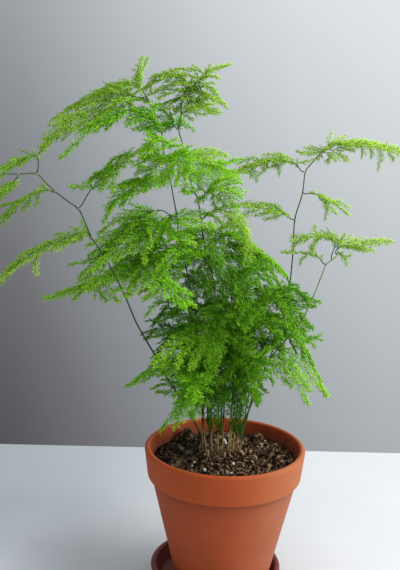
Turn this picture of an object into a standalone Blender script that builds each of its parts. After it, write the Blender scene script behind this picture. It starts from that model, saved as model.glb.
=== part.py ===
"""A lace fern in a terracotta pot on a saucer. Metres, +Z up.

The origin is on the pot's axis, at the surface that the saucer stands on. The front view looks
along +Y. Stems and fronds are laid out by their place in a front view, u across and v down, each
with its depth y; sight() turns that into a point.
"""

import math

import bmesh
import bpy
from mathutils import Matrix, Vector

# ---------------------------------------------------------------- driving dimensions, in metres

CLEARANCE = 0.0003  # between pieces that touch
STEPS = 40  # facets round the pot and the saucer

POT_FOOT_Z = 0.0063
POT_TOP_Z = 0.131
RIM_RADIUS = 0.070
RIM_HEIGHT = 0.0275
RIM_FOOT_RADIUS = 0.0673
BODY_TOP_RADIUS = 0.0635
BODY_FOOT_RADIUS = 0.0410
POT_WALL = 0.0050
POT_FLOOR = 0.0072
DRAIN_RADIUS = 0.0085

SAUCER_CENTRE = (-0.0055, 0.0013)
SAUCER_HEIGHT = 0.020
SAUCER_FLOOR = 0.006
SAUCER_TOP_RADIUS = 0.058
SAUCER_FOOT_RADIUS = 0.0500
SAUCER_WALL = 0.0052

SOIL_EDGE_Z = 0.1190
SOIL_MOUND = 0.0008  # how much higher the soil is in the middle

CROWN_CENTRE = (-0.0030, 0.0085, 0.1155)
CROWN_SIZE = (0.0250, 0.0150, 0.0085)  # half lengths

# ---------------------------------------------------------------- front view

EYE = Vector((-0.025, -0.664, 0.396))
EYE_PITCH = math.radians(10.53)
EYE_ROLL = math.radians(1.33)
VIEW_CENTRE = (200.0, 285.0)
VIEW_SCALE = 800.0


def view_axes():
    forward = Vector((0.0, math.cos(EYE_PITCH), -math.sin(EYE_PITCH)))
    right = forward.cross(Vector((0, 0, 1))).normalized()
    up = right.cross(forward)
    c, s = math.cos(EYE_ROLL), math.sin(EYE_ROLL)
    return forward, c * right + s * up, c * up - s * right


FORWARD, RIGHT, UP = view_axes()


def sight(u, v, y):
    """The point at depth y that shows at (u, v) in the front view."""
    ray = (
        FORWARD
        + RIGHT * ((u - VIEW_CENTRE[0]) / VIEW_SCALE)
        - UP * ((v - VIEW_CENTRE[1]) / VIEW_SCALE)
    )
    return EYE + ray * ((y - EYE.y) / ray.y)


def seen(point):
    """Where a point shows in the front view."""
    d = point - EYE
    z = d.dot(FORWARD)
    return (
        VIEW_CENTRE[0] + VIEW_SCALE * d.dot(RIGHT) / z,
        VIEW_CENTRE[1] - VIEW_SCALE * d.dot(UP) / z,
    )


# ---------------------------------------------------------------- curves


def smooth(points, step):
    """A curve through the points, read at about every step metres."""
    p = [points[0] * 2 - points[1], *points, points[-1] * 2 - points[-2]]
    out = []
    for i in range(1, len(p) - 2):
        a, b, c, d = p[i - 1], p[i], p[i + 1], p[i + 2]
        count = max(1, round((c - b).length / step))
        for k in range(count):
            t = k / count
            out.append(
                0.5
                * (
                    2 * b
                    + (c - a) * t
                    + (2 * a - 5 * b + 4 * c - d) * t * t
                    + (3 * b - a - 3 * c + d) * t**3
                )
            )
    out.append(points[-1].copy())
    return out


def lengths(path):
    total = [0.0]
    for a, b in zip(path, path[1:]):
        total.append(total[-1] + (b - a).length)
    return total


def resample(path, count):
    """count + 1 points, evenly spaced along the path."""
    run = lengths(path)
    out, j = [], 0
    for k in range(count + 1):
        want = run[-1] * k / count
        while j < len(path) - 2 and run[j + 1] < want:
            j += 1
        t = (want - run[j]) / max(run[j + 1] - run[j], 1e-9)
        out.append(path[j].lerp(path[j + 1], min(max(t, 0.0), 1.0)))
    return out


# ---------------------------------------------------------------- scene and materials

for old in list(bpy.data.objects):
    bpy.data.objects.remove(old, do_unlink=True)

scene = bpy.context.scene
parts = bpy.data.collections.new("potted_asparagus_fern")
scene.collection.children.link(parts)
cutters = bpy.data.collections.new("cutters")
cutters.hide_render = True
scene.collection.children.link(cutters)

COLOURS = {
    "terracotta": ((0.47, 0.165, 0.075), 0.85),
    "saucer_clay": ((0.20, 0.055, 0.040), 0.80),
    "soil": ((0.030, 0.020, 0.014), 1.00),
    "crown": ((0.30, 0.19, 0.09), 0.90),
    "stem_dark": ((0.060, 0.110, 0.030), 0.55),
    "stem_young": ((0.16, 0.24, 0.06), 0.55),
    "light_green": ((0.20, 0.42, 0.045), 0.60),
    "mid_green": ((0.11, 0.29, 0.035), 0.60),
    "deep_green": ((0.040, 0.155, 0.025), 0.60),
}


def paint(obj, key):
    colour, roughness = COLOURS[key]
    material = bpy.data.materials.new(f"{obj.name}_{key}")
    material.use_nodes = True
    shader = material.node_tree.nodes["Principled BSDF"]
    shader.inputs["Base Color"].default_value = (*colour, 1.0)
    shader.inputs["Roughness"].default_value = roughness
    shader.inputs["Metallic"].default_value = 0.0
    obj.data.materials.append(material)


def turned(name, profile, key, closed=True, collection=parts):
    """A turned piece: a profile of (radius, z), outer side first and from the top down."""
    mesh = bpy.data.meshes.new(name)
    count = len(profile)
    edges = [(i, i + 1) for i in range(count - 1)]
    if closed:
        edges.append((count - 1, 0))
    mesh.from_pydata([(r, 0.0, z) for r, z in profile], edges, [])
    obj = bpy.data.objects.new(name, mesh)
    collection.objects.link(obj)
    screw = obj.modifiers.new("turn", "SCREW")
    screw.steps = screw.render_steps = STEPS
    screw.use_merge_vertices = True
    screw.merge_threshold = 0.00001
    screw.use_smooth_shade = True
    paint(obj, key)
    return obj


def arc(r, z, radius, start, end, count):
    """Points on a small rounded edge about (r, z), by angle in degrees from +r towards +z."""
    out = []
    for k in range(count + 1):
        a = math.radians(start + (end - start) * k / count)
        out.append((r + radius * math.cos(a), z + radius * math.sin(a)))
    return out


# ---------------------------------------------------------------- saucer

saucer_slope = (SAUCER_TOP_RADIUS - SAUCER_FOOT_RADIUS) / SAUCER_HEIGHT
lip = SAUCER_WALL / 2
saucer = turned(
    "saucer",
    arc(SAUCER_TOP_RADIUS - lip, SAUCER_HEIGHT - lip, lip, 90, 0, 3)
    + [(SAUCER_FOOT_RADIUS + 0.0010, 0.0018), (SAUCER_FOOT_RADIUS - 0.0008, 0.0)]
    + [(0.0, 0.0), (0.0, SAUCER_FLOOR)]
    + [
        (SAUCER_FOOT_RADIUS - 0.0030, SAUCER_FLOOR),
        (SAUCER_FOOT_RADIUS - 0.0010, SAUCER_FLOOR + 0.0016),
    ]
    + arc(SAUCER_TOP_RADIUS - lip, SAUCER_HEIGHT - lip, lip, 180, 120, 2),
    "saucer_clay",
)
saucer.location = (*SAUCER_CENTRE, 0.0)

# ---------------------------------------------------------------- pot

band_z = POT_TOP_Z - RIM_HEIGHT
inner_top = RIM_RADIUS - POT_WALL
inner_floor_z = POT_FOOT_Z + POT_FLOOR
inner_foot = BODY_FOOT_RADIUS - 0.0035


def inner_radius(z):
    """The radius of the inner wall at a height."""
    t = (z - inner_floor_z) / (POT_TOP_Z - inner_floor_z)
    return inner_foot + (inner_top - inner_foot) * t


pot = turned(
    "terracotta_pot",
    arc(RIM_RADIUS - 0.0026, POT_TOP_Z - 0.0026, 0.0026, 90, 0, 3)
    + arc(RIM_FOOT_RADIUS - 0.0020, band_z + 0.0020, 0.0020, 0, -90, 3)
    + [(BODY_TOP_RADIUS, band_z - 0.0008)]
    + arc(BODY_FOOT_RADIUS - 0.0018, POT_FOOT_Z + 0.0018, 0.0018, 0, -90, 2)
    + [(DRAIN_RADIUS, POT_FOOT_Z), (DRAIN_RADIUS + 0.0008, inner_floor_z)]
    + [(inner_radius(inner_floor_z) - 0.0030, inner_floor_z)]
    + [(inner_radius(inner_floor_z + 0.0030), inner_floor_z + 0.0030)]
    + arc(inner_top + 0.0022, POT_TOP_Z - 0.0022, 0.0022, 180, 120, 2),
    "terracotta",
)

# ---------------------------------------------------------------- soil and root crown


def ellipsoid(name, collection, grow):
    mesh = bpy.data.meshes.new(name)
    bm = bmesh.new()
    bmesh.ops.create_uvsphere(bm, u_segments=20, v_segments=10, radius=1.0)
    bm.to_mesh(mesh)
    bm.free()
    obj = bpy.data.objects.new(name, mesh)
    collection.objects.link(obj)
    obj.location = CROWN_CENTRE
    obj.scale = [half + grow for half in CROWN_SIZE]
    return obj


soil = turned(
    "potting_soil",
    [(0.0, SOIL_EDGE_Z + SOIL_MOUND), (0.020, SOIL_EDGE_Z + SOIL_MOUND * 0.93)]
    + [(0.036, SOIL_EDGE_Z + SOIL_MOUND * 0.60), (0.050, SOIL_EDGE_Z + SOIL_MOUND * 0.20)]
    + [
        (inner_radius(z) - CLEARANCE - 0.0001, z)
        for z in (SOIL_EDGE_Z, 0.085, 0.050, inner_floor_z + 0.0034)
    ]
    + [(inner_radius(inner_floor_z) - 0.0032, inner_floor_z + CLEARANCE)]
    + [(0.0, inner_floor_z + CLEARANCE)],
    "soil",
    closed=False,
)
pocket = ellipsoid("crown_pocket", cutters, CLEARANCE)
pocket.hide_render = True
pocket.display_type = "WIRE"
cut = soil.modifiers.new("crown_pocket", "BOOLEAN")
cut.operation = "DIFFERENCE"
cut.object = pocket

crown = ellipsoid("root_crown", parts, 0.0)
for face in crown.data.polygons:
    face.use_smooth = True
paint(crown, "crown")


def crown_top(x, y):
    """The height of the crown's upper side."""
    a = (x - CROWN_CENTRE[0]) / CROWN_SIZE[0]
    b = (y - CROWN_CENTRE[1]) / CROWN_SIZE[1]
    return CROWN_CENTRE[2] + CROWN_SIZE[2] * math.sqrt(max(0.0, 1.0 - a * a - b * b))


# ---------------------------------------------------------------- stems

STEM_SIDES = 1  # bevel resolution of the thin tubes

# name: (base x, base y, radius, then u, v, y up the stem)
STEMS = {
    "stem_left_arching": (
        (-0.0190, 0.0040, 0.00085),
        [
            (199.5, 433, 0.001),
            (193, 420, 0.000),
            (180, 398, -0.002),
            (164, 373, -0.004),
            (153, 352, -0.006),
            (137, 324, -0.008),
            (125, 296, -0.010),
            (112, 270, -0.012),
            (98.7, 248, -0.014),
            (92, 238, -0.015),
            (83, 218, -0.016),
            (78.4, 209, -0.017),
            (66, 200, -0.018),
            (55, 191.4, -0.019),
            (46, 183, -0.020),
            (36.5, 174, -0.021),
            (21.6, 174, -0.023),
            (3, 174.5, -0.025),
            (-14, 177.5, -0.027),
        ],
    ),
    "stem_right_tall": (
        (0.0085, 0.0140, 0.00085),
        [
            (249, 410, 0.022),
            (265, 370, 0.031),
            (279, 332, 0.036),
            (287, 302, 0.037),
            (290, 283, 0.037),
            (293, 252, 0.035),
            (294.9, 219.5, 0.032),
            (302.3, 194, 0.029),
            (305.2, 172.5, 0.028),
            (310.5, 164.6, 0.028),
            (317.6, 156.6, 0.028),
            (322.8, 150.6, 0.028),
        ],
    ),
    "stem_right_low": (
        (0.0130, 0.0045, 0.00080),
        [
            (247, 417.5, 0.002),
            (253, 396, 0.000),
            (260.7, 379, -0.001),
            (268.4, 361, -0.002),
            (285, 341, -0.002),
            (299, 324, 0.000),
            (307.5, 309.5, 0.002),
            (316, 290, 0.004),
            (322.8, 272.7, 0.006),
            (326, 265, 0.007),
            (332, 259.7, 0.008),
            (338, 255, 0.009),
        ],
    ),
    "stem_centre_left": (
        (-0.0130, 0.0095, 0.00080),
        [
            (209, 420, 0.010),
            (203, 380, 0.011),
            (199, 340, 0.012),
            (194.5, 305, 0.013),
            (188.8, 280, 0.013),
            (182.5, 252, 0.012),
            (178.5, 232, 0.011),
            (176.8, 216, 0.010),
            (173, 195, 0.009),
            (170, 179, 0.008),
            (164.3, 156, 0.006),
            (161.4, 131, 0.004),
            (155, 114, 0.002),
            (149.8, 103, 0.000),
            (146.4, 95.6, -0.001),
        ],
    ),
    "stem_centre_right": (
        (-0.0060, 0.0145, 0.00080),
        [
            (221.5, 420, 0.018),
            (221, 380, 0.022),
            (219, 330, 0.025),
            (213, 278, 0.027),
            (207.5, 255, 0.027),
            (203.6, 239, 0.027),
            (200.9, 219, 0.027),
            (197.8, 199, 0.026),
            (192.9, 189, 0.025),
            (188, 170, 0.024),
            (184.8, 154, 0.023),
            (182, 142, 0.022),
            (178.8, 129.6, 0.021),
            (180.8, 116, 0.021),
            (182, 102, 0.021),
            (185.4, 97, 0.021),
            (192, 91, 0.021),
            (199.5, 85, 0.021),
        ],
    ),
}

stem_paths = {}
for name, ((base_x, base_y, radius), marks) in STEMS.items():
    start = Vector((base_x, base_y, crown_top(base_x, base_y) + CLEARANCE + 0.0004))
    path = smooth([start] + [sight(*mark) for mark in marks], 0.013)
    stem_paths[name] = (path, radius)
    curve = bpy.data.curves.new(name, "CURVE")
    curve.dimensions = "3D"
    curve.bevel_depth = radius
    curve.bevel_resolution = STEM_SIDES
    curve.use_fill_caps = True
    spline = curve.splines.new("POLY")
    spline.points.add(len(path) - 1)
    for k, (point, place) in enumerate(zip(spline.points, path)):
        point.co = (*place, 1.0)
        point.radius = 1.15 - 0.50 * k / (len(path) - 1)
    spline.use_smooth = True
    stem = bpy.data.objects.new(name, curve)
    parts.objects.link(stem)
    paint(stem, "stem_dark")


def on_stem(name, u, v):
    """The point of a stem that shows nearest to (u, v), with its direction and radius there."""
    path, radius = stem_paths[name]
    fine = resample(path, 400)

    def miss(k):
        a, b = seen(fine[k])
        return (a - u) ** 2 + (b - v) ** 2

    k = min(range(len(fine)), key=miss)
    k = min(max(k, 1), len(fine) - 2)
    along = (fine[k + 1] - fine[k - 1]).normalized()
    return fine[k], along, radius * (1.15 - 0.50 * k / 400)


# ---------------------------------------------------------------- fronds


def loft(name, path, stalk, half_width, half_thick, key, roll=0.0, teeth=5, stalk_radius=0.00055):
    """A frond: a round stalk that widens into a thin, flat blade with a toothed outline.

    stalk is the fraction of the length that is bare. The blade lies level across its heading, and
    roll turns it about its length, in degrees.
    """
    total = lengths(path)[-1]
    bare = total * stalk
    blade_rings = 2 * teeth
    stalk_rings = max(1, round(bare / 0.012))
    fine = resample(path, 300)
    heading = path[-1] - path[0]
    side = Vector((heading.x, heading.y, 0.0)).cross(Vector((0, 0, 1)))
    side = side.normalized() if side.length > 1e-6 else Vector((1, 0, 0))

    rings = [(bare * k / stalk_rings, stalk_radius, stalk_radius) for k in range(stalk_rings)]
    for k in range(blade_rings + 1):
        t = k / blade_rings
        full = math.sin(math.pi * min(1.0, t) ** 0.72) ** 0.75 if 0 < t < 1 else 0.0
        notch = 0.62 if k % 2 else 1.0
        wide = stalk_radius + (half_width - stalk_radius) * full * notch
        thick = stalk_radius + (half_thick - stalk_radius) * full
        if k == blade_rings:
            wide, thick = 0.0006, 0.0004
        rings.append((bare + (total - bare) * t, wide, thick))

    mesh = bpy.data.meshes.new(name)
    bm = bmesh.new()
    loops = []
    for run, wide, thick in rings:
        f = min(max(run / total * 300, 0.0), 300.0)
        i = min(int(f), 299)
        here = fine[i].lerp(fine[i + 1], f - i)
        low, high = max(i - 3, 0), min(i + 4, 300)
        along = (fine[high] - fine[low]).normalized()
        across = (side - along * side.dot(along)).normalized()
        across = Matrix.Rotation(math.radians(roll), 3, along) @ across
        normal = across.cross(along)
        loop = []
        for j in range(6):
            a = math.radians(60 * j)
            place = here + across * (wide * math.cos(a)) + normal * (thick * math.sin(a))
            loop.append(bm.verts.new(place))
        loops.append(loop)
    for one, two in zip(loops, loops[1:]):
        for j in range(6):
            bm.faces.new((one[j], one[(j + 1) % 6], two[(j + 1) % 6], two[j]))
    bm.faces.new(loops[0])
    bm.faces.new(loops[-1])
    bmesh.ops.recalc_face_normals(bm, faces=bm.faces)
    bm.to_mesh(mesh)
    bm.free()
    obj = bpy.data.objects.new(name, mesh)
    parts.objects.link(obj)
    paint(obj, key)
    return obj


# name: (stem, where it leaves the stem, half width in mm, bare fraction, roll, colour,
#        then u, v, y out to the tip)
FRONDS = {
    # left arching stem
    "frond_left_low": (
        "stem_left_arching", (92, 238), 15, 0.08, 0, "light_green",
        [(80, 232, -0.018), (58, 240, -0.026), (33, 251, -0.034), (10, 266, -0.042), (-14, 283, -0.050)],
    ),
    "frond_left_inner": (
        "stem_left_arching", (78.4, 209), 17, 0.22, 0, "mid_green",
        [(92, 188, -0.012), (108, 172, -0.010), (124, 159, -0.010), (140, 151, -0.012), (153, 141, -0.014)],
    ),
    "frond_left_middle": (
        "stem_left_arching", (55, 191.4), 15, 0.16, 0, "light_green",
        [(44, 193, -0.010), (29, 198, 0.002), (12, 209, 0.012), (-4, 224, 0.018), (-16, 238, 0.022)],
    ),
    "frond_left_upper": (
        "stem_left_arching", (36.5, 174), 14, 0.30, 0, "light_green",
        [(38, 158, -0.020), (33, 155.5, -0.022), (21, 160.5, -0.028), (5, 168, -0.034), (-12, 177, -0.040)],
    ),
    "frond_left_tip": (
        "stem_left_arching", (18, 174), 11, 0.20, 0, "light_green",
        [(14, 182, -0.016), (5, 190, -0.008), (-7, 198, -0.002), (-18, 207, 0.004)],
    ),
    "frond_left_end": (
        "stem_left_arching", (-12, 177), 13, 0.05, 0, "light_green",
        [(-20, 171, -0.030), (-30, 171, -0.034), (-44, 178, -0.040)],
    ),
    # tall right stem
    "frond_right_inner": (
        "stem_right_tall", (294.9, 219.5), 13, 0.12, 0, "light_green",
        [(283, 213, 0.026), (266, 209, 0.020), (250, 207, 0.014), (233, 205, 0.008)],
    ),
    "frond_right_outer": (
        "stem_right_tall", (302.3, 194), 13, 0.14, 0, "light_green",
        [(312, 194, 0.034), (327, 200, 0.040), (340, 207, 0.046), (350, 213, 0.050)],
    ),
    "frond_right_upper": (
        "stem_right_tall", (305.2, 172.5), 15, 0.12, 0, "light_green",
        [(295, 163, 0.030), (280, 157, 0.034), (262, 160, 0.036), (248, 165, 0.038), (235, 171, 0.040)],
    ),
    "frond_right_end": (
        "stem_right_tall", (321.5, 152), 15, 0.06, 0, "light_green",
        [(333, 142, 0.026), (349, 141.5, 0.022), (370, 143, 0.016), (391, 148, 0.010), (410, 156, 0.004), (424, 165, 0.000)],
    ),
    # low right stem
    "frond_low_right_end": (
        "stem_right_low", (337, 256), 13, 0.16, 0, "light_green",
        [(341, 246, 0.012), (356, 241, 0.010), (373, 239.5, 0.006), (390, 241, 0.002)],
    ),
    "frond_low_right_inner": (
        "stem_right_low", (332, 259.7), 13, 0.22, 0, "light_green",
        [(335, 242, 0.002), (324, 237, -0.002), (310, 236, -0.006), (297, 238, -0.010)],
    ),
    "frond_low_right_back": (
        "stem_right_low", (326, 265), 10, 0.14, 0, "mid_green",
        [(317, 256, 0.016), (306, 253, 0.018), (294, 252.5, 0.020), (283, 252, 0.022)],
    ),
    # left of the two central stems
    "frond_top_left": (
        "stem_centre_left", (146.8, 96.5), 18, 0.05, 0, "light_green",
        [(120, 96, -0.006), (96, 112, -0.012), (70.5, 121, -0.020), (57, 130, -0.026), (44, 145, -0.032)],
    ),
    "frond_top_left_far": (
        "stem_centre_left", (149.8, 103), 15, 0.22, 0, "light_green",
        [(138, 84, 0.012), (116, 83, 0.024), (92, 94, 0.034), (72, 104, 0.042), (52, 117, 0.050)],
    ),
    "frond_top_left_tip": (
        "stem_centre_left", (148, 99), 7, 0.10, 50, "light_green",
        [(145, 84, -0.003), (144, 72, -0.004), (150, 57, -0.006)],
    ),
    "frond_top_left_under": (
        "stem_centre_left", (155, 114), 11, 0.24, 0, "mid_green",
        [(134, 109, -0.014), (106, 118, -0.030), (86, 132, -0.040), (74, 146, -0.046), (61, 157, -0.052)],
    ),
    "frond_upper_left": (
        "stem_centre_left", (161.4, 131), 13, 0.10, 0, "mid_green",
        [(150, 116, -0.008), (138, 119, -0.018), (122, 130, -0.026)],
    ),
    "frond_upper_front": (
        "stem_centre_left", (162.5, 143), 13, 0.10, 0, "mid_green",
        [(160, 136, -0.012), (154, 133, -0.030), (142, 134, -0.050)],
    ),
    "frond_middle_left": (
        "stem_centre_left", (170, 179), 17, 0.12, 0, "deep_green",
        [(158, 180, 0.000), (144, 187, -0.008), (126, 195, -0.016), (108, 204, -0.022), (96, 222, -0.028)],
    ),
    "frond_middle_front": (
        "stem_centre_left", (166, 163), 17, 0.10, 0, "mid_green",
        [(170, 156, -0.016), (176, 156, -0.036), (182, 162, -0.056), (188, 172, -0.074)],
    ),
    "frond_lower_left": (
        "stem_centre_left", (176.8, 216), 18, 0.12, 0, "mid_green",
        [(158, 205, 0.008), (132, 219, 0.007), (104, 246, 0.006), (86, 258, 0.006), (66, 266, 0.006)],
    ),
    "frond_shelf_left": (
        "stem_centre_left", (182.5, 252), 20, 0.12, 0, "mid_green",
        [(160, 252, 0.012), (130, 266, 0.014), (100, 280, 0.016), (70, 294, 0.018), (45, 303, 0.020)],
    ),
    "frond_shelf_front": (
        "stem_centre_left", (184, 262), 18, 0.12, 0, "mid_green",
        [(182, 250, -0.010), (176, 252, -0.030), (164, 266, -0.052), (150, 290, -0.070)],
    ),
    # right of the two central stems
    "frond_top_right": (
        "stem_centre_right", (196, 88), 13, 0.14, 0, "light_green",
        [(201, 78, 0.020), (210, 71, 0.018), (229, 65, 0.012)],
    ),
    "frond_top_right_droop": (
        "stem_centre_right", (198.5, 86), 11, 0.08, 0, "light_green",
        [(208, 79, 0.018), (216, 83, 0.010), (222, 93, 0.002), (228, 107, -0.004)],
    ),
    "frond_top_middle": (
        "stem_centre_right", (185.4, 97), 13, 0.16, 0, "light_green",
        [(188, 84, 0.026), (180, 77, 0.032), (168, 74, 0.038), (154, 76, 0.044)],
    ),
    "frond_upper_right": (
        "stem_centre_right", (181, 113), 11, 0.10, 0, "light_green",
        [(190, 107, 0.014), (203, 108, 0.006), (218, 113, -0.002)],
    ),
    "frond_upper_back": (
        "stem_centre_right", (178.8, 129.6), 13, 0.10, 0, "mid_green",
        [(172, 124, 0.034), (160, 124, 0.048), (146, 128, 0.062)],
    ),
    "frond_middle_right": (
        "stem_centre_right", (197.8, 199), 17, 0.12, 0, "mid_green",
        [(208, 188, 0.022), (222, 186, 0.016), (238, 189, 0.010), (256, 197, 0.004)],
    ),
    "frond_middle_high": (
        "stem_centre_right", (186, 160), 14, 0.12, 0, "light_green",
        [(197, 151, 0.024), (210, 150, 0.026), (226, 155, 0.028)],
    ),
    "frond_middle_back": (
        "stem_centre_right", (189, 176), 17, 0.10, 0, "mid_green",
        [(196, 164, 0.044), (207, 162, 0.064), (222, 168, 0.084), (236, 176, 0.100)],
    ),
    "frond_lower_right": (
        "stem_centre_right", (200.9, 219), 17, 0.12, 0, "mid_green",
        [(212, 210, 0.016), (226, 211, 0.006), (240, 222, -0.004), (248, 236, -0.010)],
    ),
    "frond_shelf_right": (
        "stem_centre_right", (205, 246), 18, 0.12, 0, "mid_green",
        [(220, 232, 0.034), (242, 236, 0.040), (264, 250, 0.046), (284, 268, 0.050)],
    ),
    "frond_shelf_back": (
        "stem_centre_right", (206, 250), 18, 0.12, 0, "deep_green",
        [(200, 234, 0.046), (186, 232, 0.070), (164, 244, 0.094)],
    ),
}

for name, (stem_name, leaves, half_mm, stalk, roll, key, marks) in FRONDS.items():
    here, along, radius = on_stem(stem_name, *leaves)
    out = [sight(*mark) for mark in marks]
    toward = out[0] - here
    away = (toward - along * toward.dot(along)).normalized()
    first = here + away * (radius + CLEARANCE + 0.0001)
    second = here + away * (radius + 0.0022) + toward.normalized() * 0.0012
    path = smooth([first, second] + out, 0.004)
    loft(name, path, stalk, half_mm / 1000, 0.0010, key, roll, stalk_radius=0.00050)

# ---------------------------------------------------------------- lower bush

# name: (base x, base y, heading in degrees from +X round +Z, reach, rise, tip height above the
#        crown, half width, colour), lengths in mm
BUSH = {
    "bush_frond_01": (-16, 1, 204, 80, 100, 70, 15, "light_green"),
    "bush_frond_02": (-19, 10, 176, 48, 134, 112, 13, "deep_green"),
    "bush_frond_03": (-6, 1, 262, 60, 130, 90, 16, "mid_green"),
    "bush_frond_04": (-11, 1, 238, 56, 78, 44, 15, "light_green"),
    "bush_frond_05": (-2, 3, 286, 52, 164, 128, 16, "mid_green"),
    "bush_frond_06": (3, 0, 298, 48, 88, 62, 14, "mid_green"),
    "bush_frond_07": (7, 1, 319, 70, 146, 100, 15, "mid_green"),
    "bush_frond_08": (14, 10, 4, 75, 104, 52, 15, "light_green"),
    "bush_frond_09": (5, 10, 8, 64, 141, 112, 15, "light_green"),
    "bush_frond_10": (12, 18, 52, 70, 116, 76, 15, "mid_green"),
    "bush_frond_11": (5, 20, 68, 68, 162, 124, 15, "deep_green"),
    "bush_frond_12": (-1, 20, 90, 66, 112, 68, 16, "deep_green"),
    "bush_frond_13": (-11, 18, 122, 70, 150, 108, 15, "deep_green"),
    "bush_frond_14": (-17, 15, 150, 59, 100, 66, 15, "mid_green"),
}

for name, (bx, by, heading, reach, rise, tip, half_mm, key) in BUSH.items():
    a = math.radians(heading)
    out = Vector((math.cos(a), math.sin(a), 0.0)) / 1000
    base = Vector((bx / 1000, by / 1000, crown_top(bx / 1000, by / 1000) + CLEARANCE + 0.0004))
    lift = Vector((0, 0, 1)) / 1000
    knots = [
        base,
        base + out * (reach * 0.10) + lift * (rise * 0.55),
        base + out * (reach * 0.30) + lift * (rise * 0.90),
        base + out * (reach * 0.58) + lift * rise,
        base + out * (reach * 0.82) + lift * (rise * 0.55 + tip * 0.45),
        base + out * reach + lift * tip,
    ]
    loft(name, smooth(knots, 0.004), 0.42, half_mm / 1000, 0.0011, key, stalk_radius=0.00070)

bpy.context.view_layer.update()
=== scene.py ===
"""Visual model of a lace fern in a terracotta pot on a saucer, built around the CAD frame.

Metres, +Z up. The origin is on the pot's axis, at the surface that the saucer stands on. The front
view looks along +Y. Stems and fronds are laid out by their place in the front view, u across and
v down, each with its depth y.
"""

import math

import bpy
import numpy as np
from mathutils import Matrix, Vector, noise


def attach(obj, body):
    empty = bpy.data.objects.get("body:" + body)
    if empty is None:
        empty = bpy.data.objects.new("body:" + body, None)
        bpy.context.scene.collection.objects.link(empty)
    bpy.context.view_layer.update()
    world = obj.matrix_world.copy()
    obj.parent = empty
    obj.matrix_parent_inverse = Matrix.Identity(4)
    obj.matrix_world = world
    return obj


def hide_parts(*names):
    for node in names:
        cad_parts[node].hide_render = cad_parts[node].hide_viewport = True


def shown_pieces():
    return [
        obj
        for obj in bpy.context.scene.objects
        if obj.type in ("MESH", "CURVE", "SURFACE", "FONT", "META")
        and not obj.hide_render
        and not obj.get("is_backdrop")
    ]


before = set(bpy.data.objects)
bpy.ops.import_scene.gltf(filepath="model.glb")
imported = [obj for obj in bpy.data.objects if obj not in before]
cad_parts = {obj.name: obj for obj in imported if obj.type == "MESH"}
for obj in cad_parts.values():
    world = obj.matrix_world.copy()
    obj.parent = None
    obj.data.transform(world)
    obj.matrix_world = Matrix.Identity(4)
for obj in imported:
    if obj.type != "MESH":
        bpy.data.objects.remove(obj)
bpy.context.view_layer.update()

scene = bpy.context.scene
pieces = bpy.data.collections.new("fern_pieces")
scene.collection.children.link(pieces)

# ---------------------------------------------------------------- front view

EYE = np.array((-0.025, -0.664, 0.396))
EYE_PITCH = math.radians(10.53)
EYE_ROLL = math.radians(1.33)
VIEW_CENTRE = (200.0, 285.0)
VIEW_SCALE = 800.0

FORWARD = np.array((0.0, math.cos(EYE_PITCH), -math.sin(EYE_PITCH)))
LEVEL_RIGHT = np.array((1.0, 0.0, 0.0))
LEVEL_UP = np.cross(LEVEL_RIGHT, FORWARD)
RIGHT = math.cos(EYE_ROLL) * LEVEL_RIGHT + math.sin(EYE_ROLL) * LEVEL_UP
UP = math.cos(EYE_ROLL) * LEVEL_UP - math.sin(EYE_ROLL) * LEVEL_RIGHT
Z = np.array((0.0, 0.0, 1.0))


def ray(u, v):
    return FORWARD + RIGHT * ((u - VIEW_CENTRE[0]) / VIEW_SCALE) - UP * ((v - VIEW_CENTRE[1]) / VIEW_SCALE)


def sight(u, v, y):
    """The point at depth y that shows at (u, v) in the front view."""
    r = ray(u, v)
    return EYE + r * ((y - EYE[1]) / r[1])


def seen(points):
    d = np.asarray(points) - EYE
    z = d @ FORWARD
    return np.stack([VIEW_CENTRE[0] + VIEW_SCALE * (d @ RIGHT) / z, VIEW_CENTRE[1] - VIEW_SCALE * (d @ UP) / z], -1)


camera_data = bpy.data.cameras.new("camera")
camera_data.sensor_fit = "AUTO"
camera_data.sensor_width = 36.0
camera_data.lens = 36.0 * VIEW_SCALE / 570.0
camera = bpy.data.objects.new("camera", camera_data)
scene.collection.objects.link(camera)
camera.matrix_world = Matrix(
    [(RIGHT[i], UP[i], -FORWARD[i], EYE[i]) for i in range(3)] + [(0, 0, 0, 1)]
)
scene.camera = camera

# ---------------------------------------------------------------- curves


def unit(a):
    return a / np.maximum(np.linalg.norm(a, axis=-1, keepdims=True), 1e-12)


def smooth(points, step):
    """A curve through the points, read at about every step metres."""
    points = [np.asarray(q, float) for q in points]
    p = [points[0] * 2 - points[1], *points, points[-1] * 2 - points[-2]]
    out = []
    for i in range(1, len(p) - 2):
        a, b, c, d = p[i - 1], p[i], p[i + 1], p[i + 2]
        count = max(1, round(float(np.linalg.norm(c - b)) / step))
        for k in range(count):
            t = k / count
            out.append(
                0.5
                * (2 * b + (c - a) * t + (2 * a - 5 * b + 4 * c - d) * t * t + (3 * b - a - 3 * c + d) * t**3)
            )
    out.append(points[-1].copy())
    return np.array(out)


class Path:
    """A smooth line, read by the length along it."""

    def __init__(self, points):
        self.points = np.asarray(points, float)
        self.run = np.concatenate([[0.0], np.cumsum(np.linalg.norm(np.diff(self.points, axis=0), axis=1))])
        self.length = float(self.run[-1])
        slope = np.gradient(self.points, np.maximum.accumulate(self.run + np.arange(len(self.run)) * 1e-9), axis=0)
        self.slope = unit(slope)

    def at(self, s):
        return np.stack([np.interp(s, self.run, self.points[:, i]) for i in range(3)], -1)

    def along(self, s):
        return unit(np.stack([np.interp(s, self.run, self.slope[:, i]) for i in range(3)], -1))


# ---------------------------------------------------------------- meshes


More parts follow.
